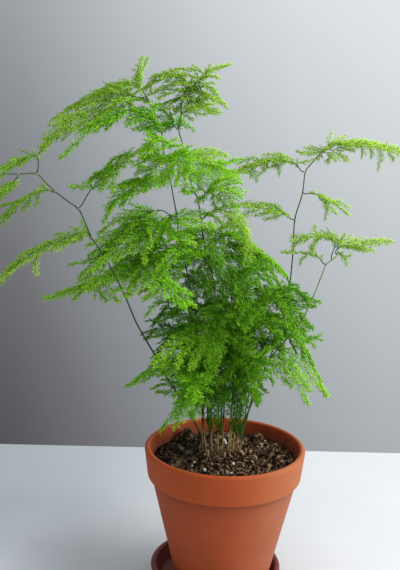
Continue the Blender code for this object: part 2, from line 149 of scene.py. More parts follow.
class Shape:
    """Closed bodies gathered into one mesh, each face with its place on the colour map."""

    def __init__(self):
        self.points, self.faces, self.maps, self.count = [], [], [], 0

    def add(self, points, faces, maps):
        self.points.append(points.reshape(-1, 3))
        self.faces.append(faces.reshape(-1, 3) + self.count)
        self.maps.append(maps.reshape(-1, 3, 2))
        self.count += len(self.points[-1])

    def build(self, name, material, smooth_shade=False, map_name="OFBake"):
        points = np.concatenate(self.points).astype(np.float32)
        faces = np.concatenate(self.faces).astype(np.int32)
        maps = np.concatenate(self.maps).astype(np.float32)
        return mesh_object(name, points, faces, maps, material, smooth_shade, map_name)


def mesh_object(name, points, faces, maps, material, smooth_shade, map_name="OFBake"):
    mesh = bpy.data.meshes.new(name)
    mesh.vertices.add(len(points))
    mesh.vertices.foreach_set("co", np.asarray(points, np.float32).ravel())
    sides = faces.shape[1]
    mesh.loops.add(faces.size)
    mesh.loops.foreach_set("vertex_index", faces.ravel().astype(np.int32))
    mesh.polygons.add(len(faces))
    mesh.polygons.foreach_set("loop_start", np.arange(0, faces.size, sides, dtype=np.int32))
    mesh.polygons.foreach_set("use_smooth", np.full(len(faces), smooth_shade))
    if maps is not None:
        layer = mesh.uv_layers.new(name=map_name)
        layer.data.foreach_set("uv", maps.ravel())
    mesh.update(calc_edges=True)
    mesh.validate()
    obj = bpy.data.objects.new(name, mesh)
    pieces.objects.link(obj)
    mesh.materials.append(material)
    return obj


def tubes(shape, points, radii, sides, u, v_low, v_high, normal=None):
    """Closed tubes. points (n, p, 3), radii (n, p) and u (n, p) run along each tube."""
    n, p, _ = points.shape
    along = unit(np.gradient(points, axis=1))
    if normal is None:
        normal = np.broadcast_to(Z, (n, 3)) + np.array((0.13, 0.07, 0.0))
    across = unit(np.cross(along, normal[:, None, :]))
    up = np.cross(across, along)
    turn = 2 * np.pi * np.arange(sides) / sides
    ring = across[:, :, None] * np.cos(turn)[:, None] + up[:, :, None] * np.sin(turn)[:, None]
    verts = points[:, :, None] + ring * radii[:, :, None, None]
    index = np.arange(n * p * sides).reshape(n, p, sides)
    a, b = index[:, :-1], np.roll(index, -1, 2)[:, :-1]
    c, d = np.roll(index, -1, 2)[:, 1:], index[:, 1:]
    v0 = v_low + (v_high - v_low) * np.arange(sides) / sides
    v1 = v_low + (v_high - v_low) * (np.arange(sides) + 1) / sides
    shape_u = np.broadcast_to(u[:, :, None], (n, p, sides))
    u0, u1 = shape_u[:, :-1], shape_u[:, 1:]
    v0, v1 = np.broadcast_to(v0, u0.shape), np.broadcast_to(v1, u0.shape)
    faces = np.stack([np.stack([a, b, c], -1), np.stack([a, c, d], -1)], -2)
    uv = np.stack(
        [
            np.stack([np.stack([u0, v0], -1), np.stack([u0, v1], -1), np.stack([u1, v1], -1)], -2),
            np.stack([np.stack([u0, v0], -1), np.stack([u1, v1], -1), np.stack([u1, v0], -1)], -2),
        ],
        -3,
    )
    ends, end_uv = [], []
    for ring_no, flip in ((0, True), (p - 1, False)):
        for k in range(1, sides - 1):
            tri = [index[:, ring_no, 0], index[:, ring_no, k], index[:, ring_no, k + 1]]
            if flip:
                tri = tri[::-1]
            ends.append(np.stack(tri, -1))
            base = u[:, ring_no]
            lo = np.clip(base - 0.015, 0.0, 0.97)
            mid = v_low + (v_high - v_low) * 0.4
            corner = [(lo, mid), (lo + 0.03, mid + 0.02), (lo, mid + 0.04)]
            end_uv.append(np.stack([np.stack([x, np.full_like(x, y)], -1) for x, y in corner], -2))
    shape.add(
        verts,
        np.concatenate([faces.reshape(-1, 3), np.concatenate(ends).reshape(-1, 3)]),
        np.concatenate([uv.reshape(-1, 3, 2), np.concatenate(end_uv).reshape(-1, 3, 2)]),
    )


def spikes(shape, base, direction, length, radius, tint):
    """Thin closed spikes, each on a three-sided foot."""
    n = len(base)
    helper = np.where(np.abs(direction[:, 2:3]) > 0.9, np.array((1.0, 0.0, 0.0)), Z)
    a = unit(np.cross(direction, helper))
    b = np.cross(direction, a)
    foot = [base + radius[:, None] * (a * math.cos(t) + b * math.sin(t)) for t in (0.0, 2.0944, 4.18879)]
    tip = base + direction * length[:, None]
    verts = np.stack([*foot, tip], 1)
    local = np.array([(0, 1, 3), (1, 2, 3), (2, 0, 3), (0, 2, 1)])
    faces = local[None] + (np.arange(n) * 4)[:, None, None]
    place = np.zeros((n, 4, 2))
    place[:, 0] = np.stack([np.zeros(n), tint - 0.02], -1)
    place[:, 1] = np.stack([np.full(n, 0.06), tint], -1)
    place[:, 2] = np.stack([np.zeros(n), tint + 0.02], -1)
    place[:, 3] = np.stack([np.ones(n), tint], -1)
    shape.add(verts, faces, place[:, local])


def pairs(shape, centre, direction, lateral, length, radius, tint, lean=0.74, u_tip=1.0):
    """Two needles that leave a twig in a V, as one closed body."""
    n = len(centre)
    third = np.cross(direction, lateral)
    ring = [centre + radius[:, None] * (direction * math.cos(t) + third * math.sin(t)) for t in (1.5708, 3.66519, 5.75959)]
    out = math.sqrt(1 - lean * lean)
    tip1 = centre + length[:, None] * (direction * lean + lateral * out)
    tip2 = centre + length[:, None] * (direction * lean - lateral * out)
    verts = np.stack([*ring, tip1, tip2], 1)
    local = np.array([(1, 0, 3), (2, 1, 3), (0, 2, 3), (0, 1, 4), (1, 2, 4), (2, 0, 4)])
    faces = local[None] + (np.arange(n) * 5)[:, None, None]
    place = np.zeros((n, 5, 2))
    for k, shift in enumerate((-0.02, 0.0, 0.02)):
        place[:, k] = np.stack([np.full(n, 0.05), tint + shift], -1)
    place[:, 3] = place[:, 4] = np.stack([np.full(n, u_tip), tint], -1)
    shape.add(verts, faces, place[:, local])


# ---------------------------------------------------------------- node helpers


def material(name, roughness=0.8, specular=0.35):
    made = bpy.data.materials.new(name)
    made.use_nodes = True
    tree = made.node_tree
    shader = tree.nodes["Principled BSDF"]
    shader.inputs["Roughness"].default_value = roughness
    shader.inputs["Specular IOR Level"].default_value = specular
    return made, tree, shader


def place_of(tree):
    return tree.nodes.new("ShaderNodeTexCoord").outputs["Object"]


def scaled(tree, source, scale):
    node = tree.nodes.new("ShaderNodeMapping")
    node.inputs["Scale"].default_value = scale
    tree.links.new(source, node.inputs["Vector"])
    return node.outputs["Vector"]


def grain(tree, source, scale, detail=4.0, roughness=0.6, distortion=0.0):
    node = tree.nodes.new("ShaderNodeTexNoise")
    node.inputs["Scale"].default_value = scale
    node.inputs["Detail"].default_value = detail
    node.inputs["Roughness"].default_value = roughness
    node.inputs["Distortion"].default_value = distortion
    tree.links.new(source, node.inputs["Vector"])
    return node.outputs["Fac"]


def cells(tree, source, scale, feature="F1"):
    node = tree.nodes.new("ShaderNodeTexVoronoi")
    node.feature = feature
    node.inputs["Scale"].default_value = scale
    tree.links.new(source, node.inputs["Vector"])
    return node.outputs["Distance"]


def ramp(tree, source, stops, kind="LINEAR"):
    node = tree.nodes.new("ShaderNodeValToRGB")
    node.color_ramp.interpolation = kind
    elements = node.color_ramp.elements
    while len(elements) > 1:
        elements.remove(elements[-1])
    for k, (position, colour) in enumerate(stops):
        if isinstance(colour, (int, float)):
            colour = (colour, colour, colour)
        element = elements[0] if k == 0 else elements.new(position)
        element.position = position
        element.color = (*colour, 1.0)
    tree.links.new(source, node.inputs["Fac"])
    return node.outputs["Color"]


def blend(tree, amount, one, two, kind="MIX"):
    node = tree.nodes.new("ShaderNodeMix")
    node.data_type = "RGBA"
    node.blend_type = kind
    node.clamp_result = False
    for socket, value in ((node.inputs[0], amount), (node.inputs[6], one), (node.inputs[7], two)):
        if isinstance(value, bpy.types.NodeSocket):
            tree.links.new(value, socket)
        elif isinstance(value, (int, float)):
            socket.default_value = value
        else:
            socket.default_value = (*value, 1.0)
    return node.outputs[2]


def maths(tree, kind, one, two=0.5, clamp=False):
    node = tree.nodes.new("ShaderNodeMath")
    node.operation = kind
    node.use_clamp = clamp
    for socket, value in ((node.inputs[0], one), (node.inputs[1], two)):
        if isinstance(value, bpy.types.NodeSocket):
            tree.links.new(value, socket)
        else:
            socket.default_value = value
    return node.outputs[0]


def bump(tree, shader, height, strength, distance, under=None):
    node = tree.nodes.new("ShaderNodeBump")
    node.inputs["Strength"].default_value = strength
    node.inputs["Distance"].default_value = distance
    tree.links.new(height, node.inputs["Height"])
    if under is not None:
        tree.links.new(under, node.inputs["Normal"])
    tree.links.new(node.outputs["Normal"], shader.inputs["Normal"])
    return node.outputs["Normal"]


def parts_of(tree, source):
    node = tree.nodes.new("ShaderNodeSeparateXYZ")
    tree.links.new(source, node.inputs[0])
    return node.outputs


# ---------------------------------------------------------------- materials

STALK_LOW, STALK_HIGH = 0.80, 0.98  # the strip of the colour map that holds stalks


def foliage_material(name, shades, tip):
    """Needles: map v up to 0.74 is age, from dark to pale green, and also carries painted shade; u runs to the tip.
    Above that are the stalks.
    """
    made, tree, shader = material(name, 0.60, 0.03)
    node = tree.nodes.new("ShaderNodeUVMap")
    node.uv_map = "OFBake"
    u, v = parts_of(tree, node.outputs["UV"])[:2]
    body = ramp(tree, v, shades)
    toward_tip = ramp(tree, u, [(0.0, 0.0), (0.35, 0.10), (0.8, 0.40), (1.0, 0.54)])
    needle = blend(tree, toward_tip, body, blend(tree, 0.55, body, tip))
    stalk = ramp(
        tree,
        u,
        [
            (0.0, (0.46, 0.32, 0.14)),
            (0.16, (0.46, 0.36, 0.15)),
            (0.32, (0.13, 0.14, 0.040)),
            (0.56, (0.022, 0.038, 0.010)),
            (0.85, (0.085, 0.220, 0.025)),
            (1.0, (0.14, 0.33, 0.035)),
        ],
    )
    streak = ramp(tree, v, [(0.80, 0.80), (0.83, 1.05), (0.88, 0.86), (0.93, 1.10), (0.98, 0.82)])
    stalk = blend(tree, 1.0, stalk, streak, "MULTIPLY")
    colour = blend(tree, maths(tree, "GREATER_THAN", v, 0.765), needle, stalk)
    tree.links.new(colour, shader.inputs["Base Color"])
    tree.links.new(ramp(tree, u, [(0.0, 0.62), (1.0, 0.46)]), shader.inputs["Roughness"])
    return made


# Three copies of one foliage colour, lit, half-shaded and shaded: painted light and shade, chosen for each frond by its
# kind
LIT_FOLIAGE = foliage_material(
    "foliage_light",
    [(0.02, (0.158, 0.402, 0.014)), (0.25, (0.262, 0.605, 0.026)), (0.5, (0.435, 0.802, 0.058)), (0.74, (0.615, 0.895, 0.150))],
    (0.675, 0.920, 0.235),
)
HALF_SHADED_FOLIAGE = foliage_material(
    "foliage_mid",
    [(0.02, (0.064, 0.252, 0.004)), (0.25, (0.140, 0.478, 0.008)), (0.5, (0.288, 0.748, 0.022)), (0.74, (0.495, 0.890, 0.064))],
    (0.555, 0.905, 0.120),
)
SHADED_FOLIAGE = foliage_material(
    "foliage_deep",
    [(0.02, (0.016, 0.064, 0.005)), (0.25, (0.031, 0.160, 0.006)), (0.5, (0.080, 0.315, 0.008)), (0.74, (0.205, 0.510, 0.018))],
    (0.290, 0.610, 0.070),
)


def terracotta_material(name, dark, mid, bright, inner, inner_radius, inner_z):
    made, tree, shader = material(name, 0.56, 0.30)
    place = place_of(tree)
    x, y, z = parts_of(tree, place)
    big = grain(tree, place, 26.0, 3.0, 0.55)
    small = grain(tree, place, 420.0, 5.0, 0.7)
    rings = grain(tree, scaled(tree, place, (3.0, 3.0, 260.0)), 1.0, 3.0, 0.6)
    colour = ramp(tree, big, [(0.20, dark), (0.50, mid), (0.80, bright)])
    colour = blend(tree, 0.55, colour, blend(tree, 1.0, colour, ramp(tree, small, [(0.25, 0.86), (0.5, 1.0), (0.78, 1.10)]), "MULTIPLY"))
    colour = blend(tree, 0.30, colour, blend(tree, 1.0, colour, ramp(tree, rings, [(0.3, 0.90), (0.6, 1.05)]), "MULTIPLY"))
    # pale salt bloom in thin patches
    bloom = maths(tree, "MULTIPLY", ramp(tree, grain(tree, place, 60.0, 6.0, 0.75, 0.4), [(0.60, 0.0), (0.82, 0.18)]), ramp(tree, small, [(0.35, 0.4), (0.7, 1.0)]))
    colour = blend(tree, bloom, colour, (0.66, 0.40, 0.27))
    # dark specks of grog in the clay
    specks = ramp(tree, cells(tree, place, 330.0), [(0.0, 1.0), (0.10, 0.55), (0.16, 0.0)])
    specks = maths(tree, "MULTIPLY", specks, ramp(tree, grain(tree, place, 140.0, 2.0), [(0.52, 0.0), (0.62, 0.65)]))
    colour = blend(tree, specks, colour, (0.10, 0.032, 0.018))
    if inner is not None:
        # painted sheen: the side towards the key light (+x) is blended paler, standing in for the light's sheen on the
        # clay
        painted_sheen_right = ramp(tree, maths(tree, "ADD", maths(tree, "MULTIPLY", x, 7.0), 0.5, True), [(0.50, 0.0), (0.66, 0.14), (0.84, 0.36), (1.0, 0.40)])
        painted_sheen_right = maths(tree, "MULTIPLY", painted_sheen_right, ramp(tree, big, [(0.2, 0.85), (0.8, 1.1)]))
        reach = maths(tree, "SQRT", maths(tree, "ADD", maths(tree, "MULTIPLY", x, x), maths(tree, "MULTIPLY", y, y)), 0.0)
        wall = maths(tree, "ADD", maths(tree, "MULTIPLY", maths(tree, "SUBTRACT", z, 0.0135), 0.2340), inner_radius)
        inside = maths(tree, "LESS_THAN", reach, wall)
        painted_sheen_right = maths(tree, "MULTIPLY", painted_sheen_right, maths(tree, "SUBTRACT", 1.0, inside))
        colour = blend(tree, painted_sheen_right, colour, (0.40, 0.225, 0.095))
        # the body is a little pinker than the band, and painted shade darkens it right under the band
        below = maths(tree, "LESS_THAN", z, 0.1035)
        colour = blend(tree, below, colour, blend(tree, 1.0, colour, (0.88, 0.93, 1.25), "MULTIPLY"))
        under = ramp(tree, maths(tree, "MULTIPLY", maths(tree, "SUBTRACT", 0.1035, z), 70.0, True), [(0.0, 1.0), (0.01, 0.62), (0.12, 0.74), (0.45, 0.93), (1.0, 1.0)])
        colour = blend(tree, 1.0, colour, under, "MULTIPLY")
        # painted shadow line and painted highlight along the band's rounded lower edge
        edge = ramp(tree, maths(tree, "MULTIPLY", maths(tree, "SUBTRACT", z, 0.1030), 160.0, True), [(0.0, 1.0), (0.05, 0.90), (0.22, 1.0), (0.5, 1.06), (1.0, 1.0)])
        colour = blend(tree, 1.0, colour, edge, "MULTIPLY")
        # painted shade inside the pot: the inner wall darkens further below the lip, towards a darker wall with moist
        # patches
        deep = maths(tree, "MULTIPLY", inside, ramp(tree, maths(tree, "MULTIPLY", maths(tree, "SUBTRACT", inner_z, z), 110.0, True), [(0.0, 0.0), (0.35, 0.55), (1.0, 1.0)]))
        moist_patches_in_shade = blend(tree, ramp(tree, grain(tree, place, 90.0, 4.0), [(0.46, 0.0), (0.66, 0.5)]), inner, (0.060, 0.022, 0.013))
        colour = blend(tree, deep, colour, moist_patches_in_shade)
    tree.links.new(colour, shader.inputs["Base Color"])
    tree.links.new(ramp(tree, small, [(0.2, 0.52), (0.8, 0.74)]), shader.inputs["Roughness"])
    low = bump(tree, shader, rings, 0.10, 0.0006)
    bump(tree, shader, small, 0.22, 0.00030, low)
    return made


# the fourth colour is the inner wall, darker than the outside: partly moist clay, partly painted shade
TERRACOTTA = terracotta_material(
    "terracotta",
    (0.425, 0.068, 0.011),
    (0.476, 0.078, 0.013),
    (0.530, 0.093, 0.018),
    (0.290, 0.053, 0.015),
    0.0393,
    0.1293,
)
SAUCER_CLAY = terracotta_material(
    "saucer_clay", (0.110, 0.022, 0.016), (0.155, 0.034, 0.024), (0.215, 0.055, 0.034), None, 0.0, 0.0
)


def painted_left_shade(tree, place, colour):
    """Painted shade: the soil is darker towards the left side (-x), in noisy patches."""
    x = parts_of(tree, place)[0]
    patch = maths(tree, "MULTIPLY", grain(tree, place, 40.0, 2.0), 0.35)
    level = maths(tree, "ADD", maths(tree, "MULTIPLY", x, 7.0), maths(tree, "ADD", patch, 0.33), True)
    return blend(tree, 1.0, colour, ramp(tree, level, [(0.0, 0.30), (0.25, 0.42), (0.50, 0.85), (0.70, 1.05)]), "MULTIPLY")


def soil_material():
    made, tree, shader = material("potting_soil", 0.95, 0.12)
    place = place_of(tree)
    coarse = grain(tree, place, 210.0, 6.0, 0.72, 0.6)
    fine = grain(tree, place, 900.0, 4.0, 0.7)
    colour = ramp(tree, coarse, [(0.32, (0.006, 0.004, 0.003)), (0.47, (0.020, 0.012, 0.007)), (0.60, (0.060, 0.036, 0.019)), (0.74, (0.145, 0.090, 0.046))])
    colour = blend(tree, 0.6, colour, blend(tree, 1.0, colour, ramp(tree, fine, [(0.3, 0.35), (0.55, 1.0), (0.75, 1.9)]), "MULTIPLY"))
    colour = painted_left_shade(tree, place, colour)
    tree.links.new(colour, shader.inputs["Base Color"])
    tree.links.new(ramp(tree, fine, [(0.3, 0.82), (0.7, 1.0)]), shader.inputs["Roughness"])
    low = bump(tree, shader, coarse, 0.9, 0.0016)
    bump(tree, shader, fine, 0.7, 0.0005, low)
    return made


def crumb_material(name, stops, scale=380.0, roughness=0.9):
    """Loose bits: each one takes its shade from where it lies, with a finer grain on it."""
    made, tree, shader = material(name, roughness, 0.15)
    place = place_of(tree)
    shade = grain(tree, place, scale, 1.0, 0.5)
    colour = ramp(tree, shade, stops)
    fine = grain(tree, place, 1700.0, 4.0, 0.7)
    colour = blend(tree, 0.7, colour, blend(tree, 1.0, colour, ramp(tree, fine, [(0.3, 0.55), (0.7, 1.35)]), "MULTIPLY"))
    # clods and crumbs get the same painted shade as the soil
    if roughness > 0.85:
        colour = painted_left_shade(tree, place, colour)
    tree.links.new(colour, shader.inputs["Base Color"])
    tree.links.new(ramp(tree, fine, [(0.3, max(0.0, roughness - 0.15)), (0.7, 1.0)]), shader.inputs["Roughness"])
    bump(tree, shader, fine, 0.6, 0.0004)
    return made


def fibre_material(name, stops, stretch):
    """Wood and bark: long streaks along the vertical map of each bit."""
    made, tree, shader = material(name, 0.85, 0.2)
    place = place_of(tree)
    streak = grain(tree, scaled(tree, place, stretch), 1.0, 5.0, 0.65, 0.3)
    colour = ramp(tree, streak, stops)
    fine = grain(tree, place, 1200.0, 3.0, 0.6)
    colour = blend(tree, 0.5, colour, blend(tree, 1.0, colour, ramp(tree, fine, [(0.3, 0.6), (0.7, 1.3)]), "MULTIPLY"))
    tree.links.new(colour, shader.inputs["Base Color"])
    tree.links.new(ramp(tree, streak, [(0.3, 0.75), (0.7, 0.95)]), shader.inputs["Roughness"])
    bump(tree, shader, streak, 0.6, 0.0004)
    return made


def stem_material(name, stops):
    """A wiry stem: map u runs up the stem, v round it, and v over 0.86 is a pale joint."""
    made, tree, shader = material(name, 0.50, 0.35)
    node = tree.nodes.new("ShaderNodeUVMap")
    node.uv_map = "run"
    u, v = parts_of(tree, node.outputs["UV"])[:2]
    place = place_of(tree)
    colour = ramp(tree, u, stops)
    patch = grain(tree, place, 160.0, 3.0, 0.6)
    colour = blend(tree, 0.6, colour, blend(tree, 1.0, colour, ramp(tree, patch, [(0.3, 0.65), (0.5, 1.0), (0.7, 1.45)]), "MULTIPLY"))
    ribs = grain(tree, scaled(tree, node.outputs["UV"], (3.0, 22.0, 1.0)), 1.0, 3.0, 0.6)
    colour = blend(tree, 0.5, colour, blend(tree, 1.0, colour, ramp(tree, ribs, [(0.3, 0.7), (0.7, 1.35)]), "MULTIPLY"))
    joint = ramp(tree, patch, [(0.3, (0.20, 0.27, 0.09)), (0.7, (0.42, 0.45, 0.22))])
    colour = blend(tree, maths(tree, "GREATER_THAN", v, 0.86), colour, joint)
    tree.links.new(colour, shader.inputs["Base Color"])
    tree.links.new(ramp(tree, patch, [(0.3, 0.42), (0.7, 0.62)]), shader.inputs["Roughness"])
    bump(tree, shader, ribs, 0.35, 0.0002)
    return made


# ---------------------------------------------------------------- floor, backdrop and light


def stage():
    made, tree, shader = material("pale_table", 0.55, 0.25)
    place = place_of(tree)
    x = parts_of(tree, place)[0]
    # painted light and shade: the table runs from darker on the left to brighter on the right, as the key light falls
    # from the right
    across = maths(tree, "MULTIPLY", maths(tree, "ADD", x, 0.55), 0.91, True)
    base = ramp(tree, across, [(0.0, (0.36, 0.395, 0.425)), (0.36, (0.44, 0.475, 0.505)), (0.50, (0.61, 0.645, 0.67)), (0.60, (0.73, 0.755, 0.78)), (1.0, (0.79, 0.81, 0.83))])
    y = parts_of(tree, place)[1]
    # painted light: the front left of the table is lightened, taking away the cast shadow there
    away = maths(tree, "MULTIPLY", maths(tree, "SUBTRACT", -0.13, x), 14.0, True)
    near = maths(tree, "MULTIPLY", maths(tree, "SUBTRACT", 0.15, y), 8.0, True)
    base = blend(tree, maths(tree, "MULTIPLY", maths(tree, "MULTIPLY", away, near), 0.8), base, (0.70, 0.74, 0.78))
    veil = grain(tree, place, 9.0, 3.0, 0.5)
    colour = blend(tree, 0.05, base, ramp(tree, veil, [(0.3, 0.4), (0.7, 0.9)]))
    tree.links.new(colour, shader.inputs["Base Color"])
    tree.links.new(ramp(tree, veil, [(0.3, 0.50), (0.7, 0.60)]), shader.inputs["Roughness"])
    x0, x1, y0, y1, z0 = -1.15, 1.15, -1.20, 0.312, -0.022
    points = np.array([(x, y, z) for z in (z0, 0.0) for y in (y0, y1) for x in (x0, x1)])
    faces = np.array([(0, 2, 3, 1), (4, 5, 7, 6), (0, 1, 5, 4), (2, 6, 7, 3), (0, 4, 6, 2), (1, 3, 7, 5)])
    table = mesh_object("pale_table", points, faces, None, made, False)
    table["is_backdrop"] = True

    world = bpy.data.worlds.new("soft_grey")
    scene.world = world
    world.use_nodes = True
    tree = world.node_tree
    back = tree.nodes["Background"]
    source = tree.nodes.new("ShaderNodeTexCoord").outputs["Generated"]
    x, y, z = parts_of(tree, source)
    # across the wall behind the plant, brighter to the right, then darker towards the table
    across = ramp(tree, maths(tree, "ADD", x, 0.5, True), [(0.0, 0.42), (0.28, 0.585), (0.39, 0.690), (0.50, 0.772), (0.61, 0.828), (0.72, 0.865), (1.0, 0.90)])
    slope = maths(tree, "SUBTRACT", 0.60, maths(tree, "MULTIPLY", maths(tree, "ADD", x, 0.5), 0.22))
    level = maths(tree, "ADD", maths(tree, "ADD", across, 0.012), maths(tree, "MULTIPLY", maths(tree, "SUBTRACT", z, 0.115), slope))
    wall = ramp(
        tree,
        level,
        [
            (0.30, (0.070, 0.070, 0.076)),
            (0.372, (0.114, 0.112, 0.122)),
            (0.443, (0.165, 0.165, 0.178)),
            (0.569, (0.283, 0.305, 0.323)),
            (0.690, (0.434, 0.462, 0.485)),
            (0.772, (0.552, 0.584, 0.610)),
            (0.863, (0.716, 0.745, 0.768)),
            (0.95, (0.850, 0.870, 0.885)),
        ],
    )
    front = ramp(tree, maths(tree, "ADD", maths(tree, "MULTIPLY", z, 0.5), 0.5), [(0.0, (0.20, 0.205, 0.215)), (0.5, (0.30, 0.31, 0.325)), (1.0, (0.46, 0.475, 0.50))])
    side = maths(tree, "ADD", maths(tree, "MULTIPLY", y, 1.6), 0.20, True)
    colour = blend(tree, side, front, wall)
    tree.links.new(colour, back.inputs["Color"])
    back.inputs["Strength"].default_value = 1.0

    def lamp(name, place, target, size, power, colour):
        data = bpy.data.lights.new(name, "AREA")
        data.shape = "DISK"
        data.size = size
        data.energy = power
        data.color = colour
        obj = bpy.data.objects.new(name, data)
        scene.collection.objects.link(obj)
        obj.location = place
        obj.rotation_mode = "QUATERNION"
        obj.rotation_quaternion = (Vector(target) - Vector(place)).to_track_quat("-Z", "Y")

    lamp("key", (1.15, -0.35, 0.80), (0.0, 0.0, 0.22), 1.10, 17.0, (1.0, 0.99, 0.97))
    lamp("top", (0.35, 0.10, 1.40), (0.0, 0.0, 0.2), 0.8, 5.0, (0.97, 0.985, 1.0))
    lamp("fill", (-0.9, -0.9, 0.55), (0.0, 0.0, 0.2), 0.9, 0.8, (0.95, 0.97, 1.0))
    scene.view_settings.view_transform = "Standard"
    scene.view_settings.look = "None"
    scene.view_settings.exposure = 0.0
    scene.view_settings.gamma = 1.0


stage()

# ---------------------------------------------------------------- pot and saucer

CLEARANCE = 0.0003
POT_FOOT_Z = 0.0063
POT_TOP_Z = 0.131
RIM_RADIUS = 0.070
RIM_HEIGHT = 0.0275
RIM_FOOT_RADIUS = 0.0673
BODY_TOP_RADIUS = 0.0635
BODY_FOOT_RADIUS = 0.0410
POT_WALL = 0.0050
POT_FLOOR = 0.0072
DRAIN_RADIUS = 0.0085
SAUCER_CENTRE = (-0.0055, 0.0013)
SAUCER_HEIGHT = 0.020
SAUCER_FLOOR = 0.006
SAUCER_TOP_RADIUS = 0.058
SAUCER_FOOT_RADIUS = 0.0500
SAUCER_WALL = 0.0052
SOIL_EDGE_Z = 0.1190
SOIL_MOUND = 0.0008
CROWN_CENTRE = (-0.0030, 0.0085, 0.1155)
CROWN_SIZE = (0.0250, 0.0150, 0.0085)

band_z = POT_TOP_Z - RIM_HEIGHT
inner_top = RIM_RADIUS - POT_WALL
inner_floor_z = POT_FOOT_Z + POT_FLOOR
inner_foot = BODY_FOOT_RADIUS - 0.0035


def inner_radius(z):
    return inner_foot + (inner_top - inner_foot) * (z - inner_floor_z) / (POT_TOP_Z - inner_floor_z)


def bow(r, z, radius, start, end, count):
    a = np.radians(np.linspace(start, end, count + 1))
    return [(r + radius * math.cos(t), z + radius * math.sin(t)) for t in a]


def between(one, two, count):
    """Points inside a straight stretch of a profile."""
    return [
        (one[0] + (two[0] - one[0]) * k / (count + 1), one[1] + (two[1] - one[1]) * k / (count + 1))
        for k in range(1, count + 1)
    ]


def turned(name, profile, made, node, centre=(0.0, 0.0), steps=120, wobble=0.0, seed=0.0, axis_caps=False):
    """A thrown piece: the profile (radius, z), outer side first, turned with a slight unevenness."""
    profile = np.array(profile)
    turn = 2 * np.pi * np.arange(steps) / steps
    rows = []
    for r, z in profile:
        ring = []
        for t in turn:
            d = noise.noise(Vector((math.cos(t) * 1.4 + seed, math.sin(t) * 1.4, z * 22.0)))
            e = noise.noise(Vector((math.cos(t) * 1.1 + seed + 9.0, math.sin(t) * 1.1, z * 6.0)))
            rr = r + wobble * d * min(1.0, r / 0.02)
            ring.append((rr * math.cos(t) + centre[0], rr * math.sin(t) + centre[1], z + (0.6 * wobble * e if z > 0.012 else 0.0)))
        rows.append(ring)
    points = np.array(rows).reshape(-1, 3)
    count = len(profile)
    faces = []
    last = count - 1 if axis_caps else count
    for i in range(last):
        j = (i + 1) % count
        for k in range(steps):
            m = (k + 1) % steps
            faces.append((i * steps + k, j * steps + k, j * steps + m, i * steps + m))
    mesh = bpy.data.meshes.new(name)
    if axis_caps:  # the profile starts and ends at the axis with a small ring, closed by a fan
        top, bottom = len(points), len(points) + 1
        points = np.vstack([points, [(centre[0], centre[1], profile[0][1]), (centre[0], centre[1], profile[-1][1])]])
        for k in range(steps):
            m = (k + 1) % steps
            faces.append((top, k, m))
            faces.append((bottom, (count - 1) * steps + m, (count - 1) * steps + k))
    mesh.from_pydata(points.tolist(), [], faces)
    mesh.update()
    mesh.validate()
    for polygon in mesh.polygons:
        polygon.use_smooth = True
    mesh.materials.append(made)
    obj = bpy.data.objects.new(name, mesh)
    pieces.objects.link(obj)
    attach(obj, "root")
    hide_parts(node)
    return obj


def pot_profile():
    lip_r = 0.0026
    outer = bow(RIM_RADIUS - lip_r, POT_TOP_Z - lip_r, lip_r, 90, 4, 9)
    band = bow(RIM_FOOT_RADIUS - 0.0031, band_z + 0.0031, 0.0031, -4, -86, 9)
    fillet_top = (BODY_TOP_RADIUS + 0.0004, band_z - 0.0002)
    fillet = [(BODY_TOP_RADIUS + 0.0001, band_z - 0.0009), (BODY_TOP_RADIUS - 0.0004, band_z - 0.0026)]
    foot = bow(BODY_FOOT_RADIUS - 0.0018, POT_FOOT_Z + 0.0018, 0.0018, -8, -90, 5)
    drain = [(DRAIN_RADIUS + 0.0006, POT_FOOT_Z), (DRAIN_RADIUS, POT_FOOT_Z + 0.0006)]
    drain += [(DRAIN_RADIUS + 0.0004, inner_floor_z - 0.0006), (DRAIN_RADIUS + 0.0010, inner_floor_z)]
    inner = [(inner_radius(inner_floor_z) - 0.0030, inner_floor_z)]
    inner += [(inner_radius(inner_floor_z + 0.0014) - 0.0009, inner_floor_z + 0.0010)]
    inner += [(inner_radius(inner_floor_z + 0.0030), inner_floor_z + 0.0030)]
    lip = bow(inner_top + 0.0022, POT_TOP_Z - 0.0022, 0.0022, 180, 96, 8)
    return (
        outer
        + between(outer[-1], band[0], 8)
        + band
        + [fillet_top]
        + fillet
        + between(fillet[-1], foot[0], 22)
        + foot
        + drain
        + between(drain[-1], inner[0], 3)
        + inner
        + between(inner[-1], lip[0], 16)
        + lip
    )


turned("pot_thrown", pot_profile(), TERRACOTTA, "terracotta_pot", wobble=0.00012, seed=2.0)

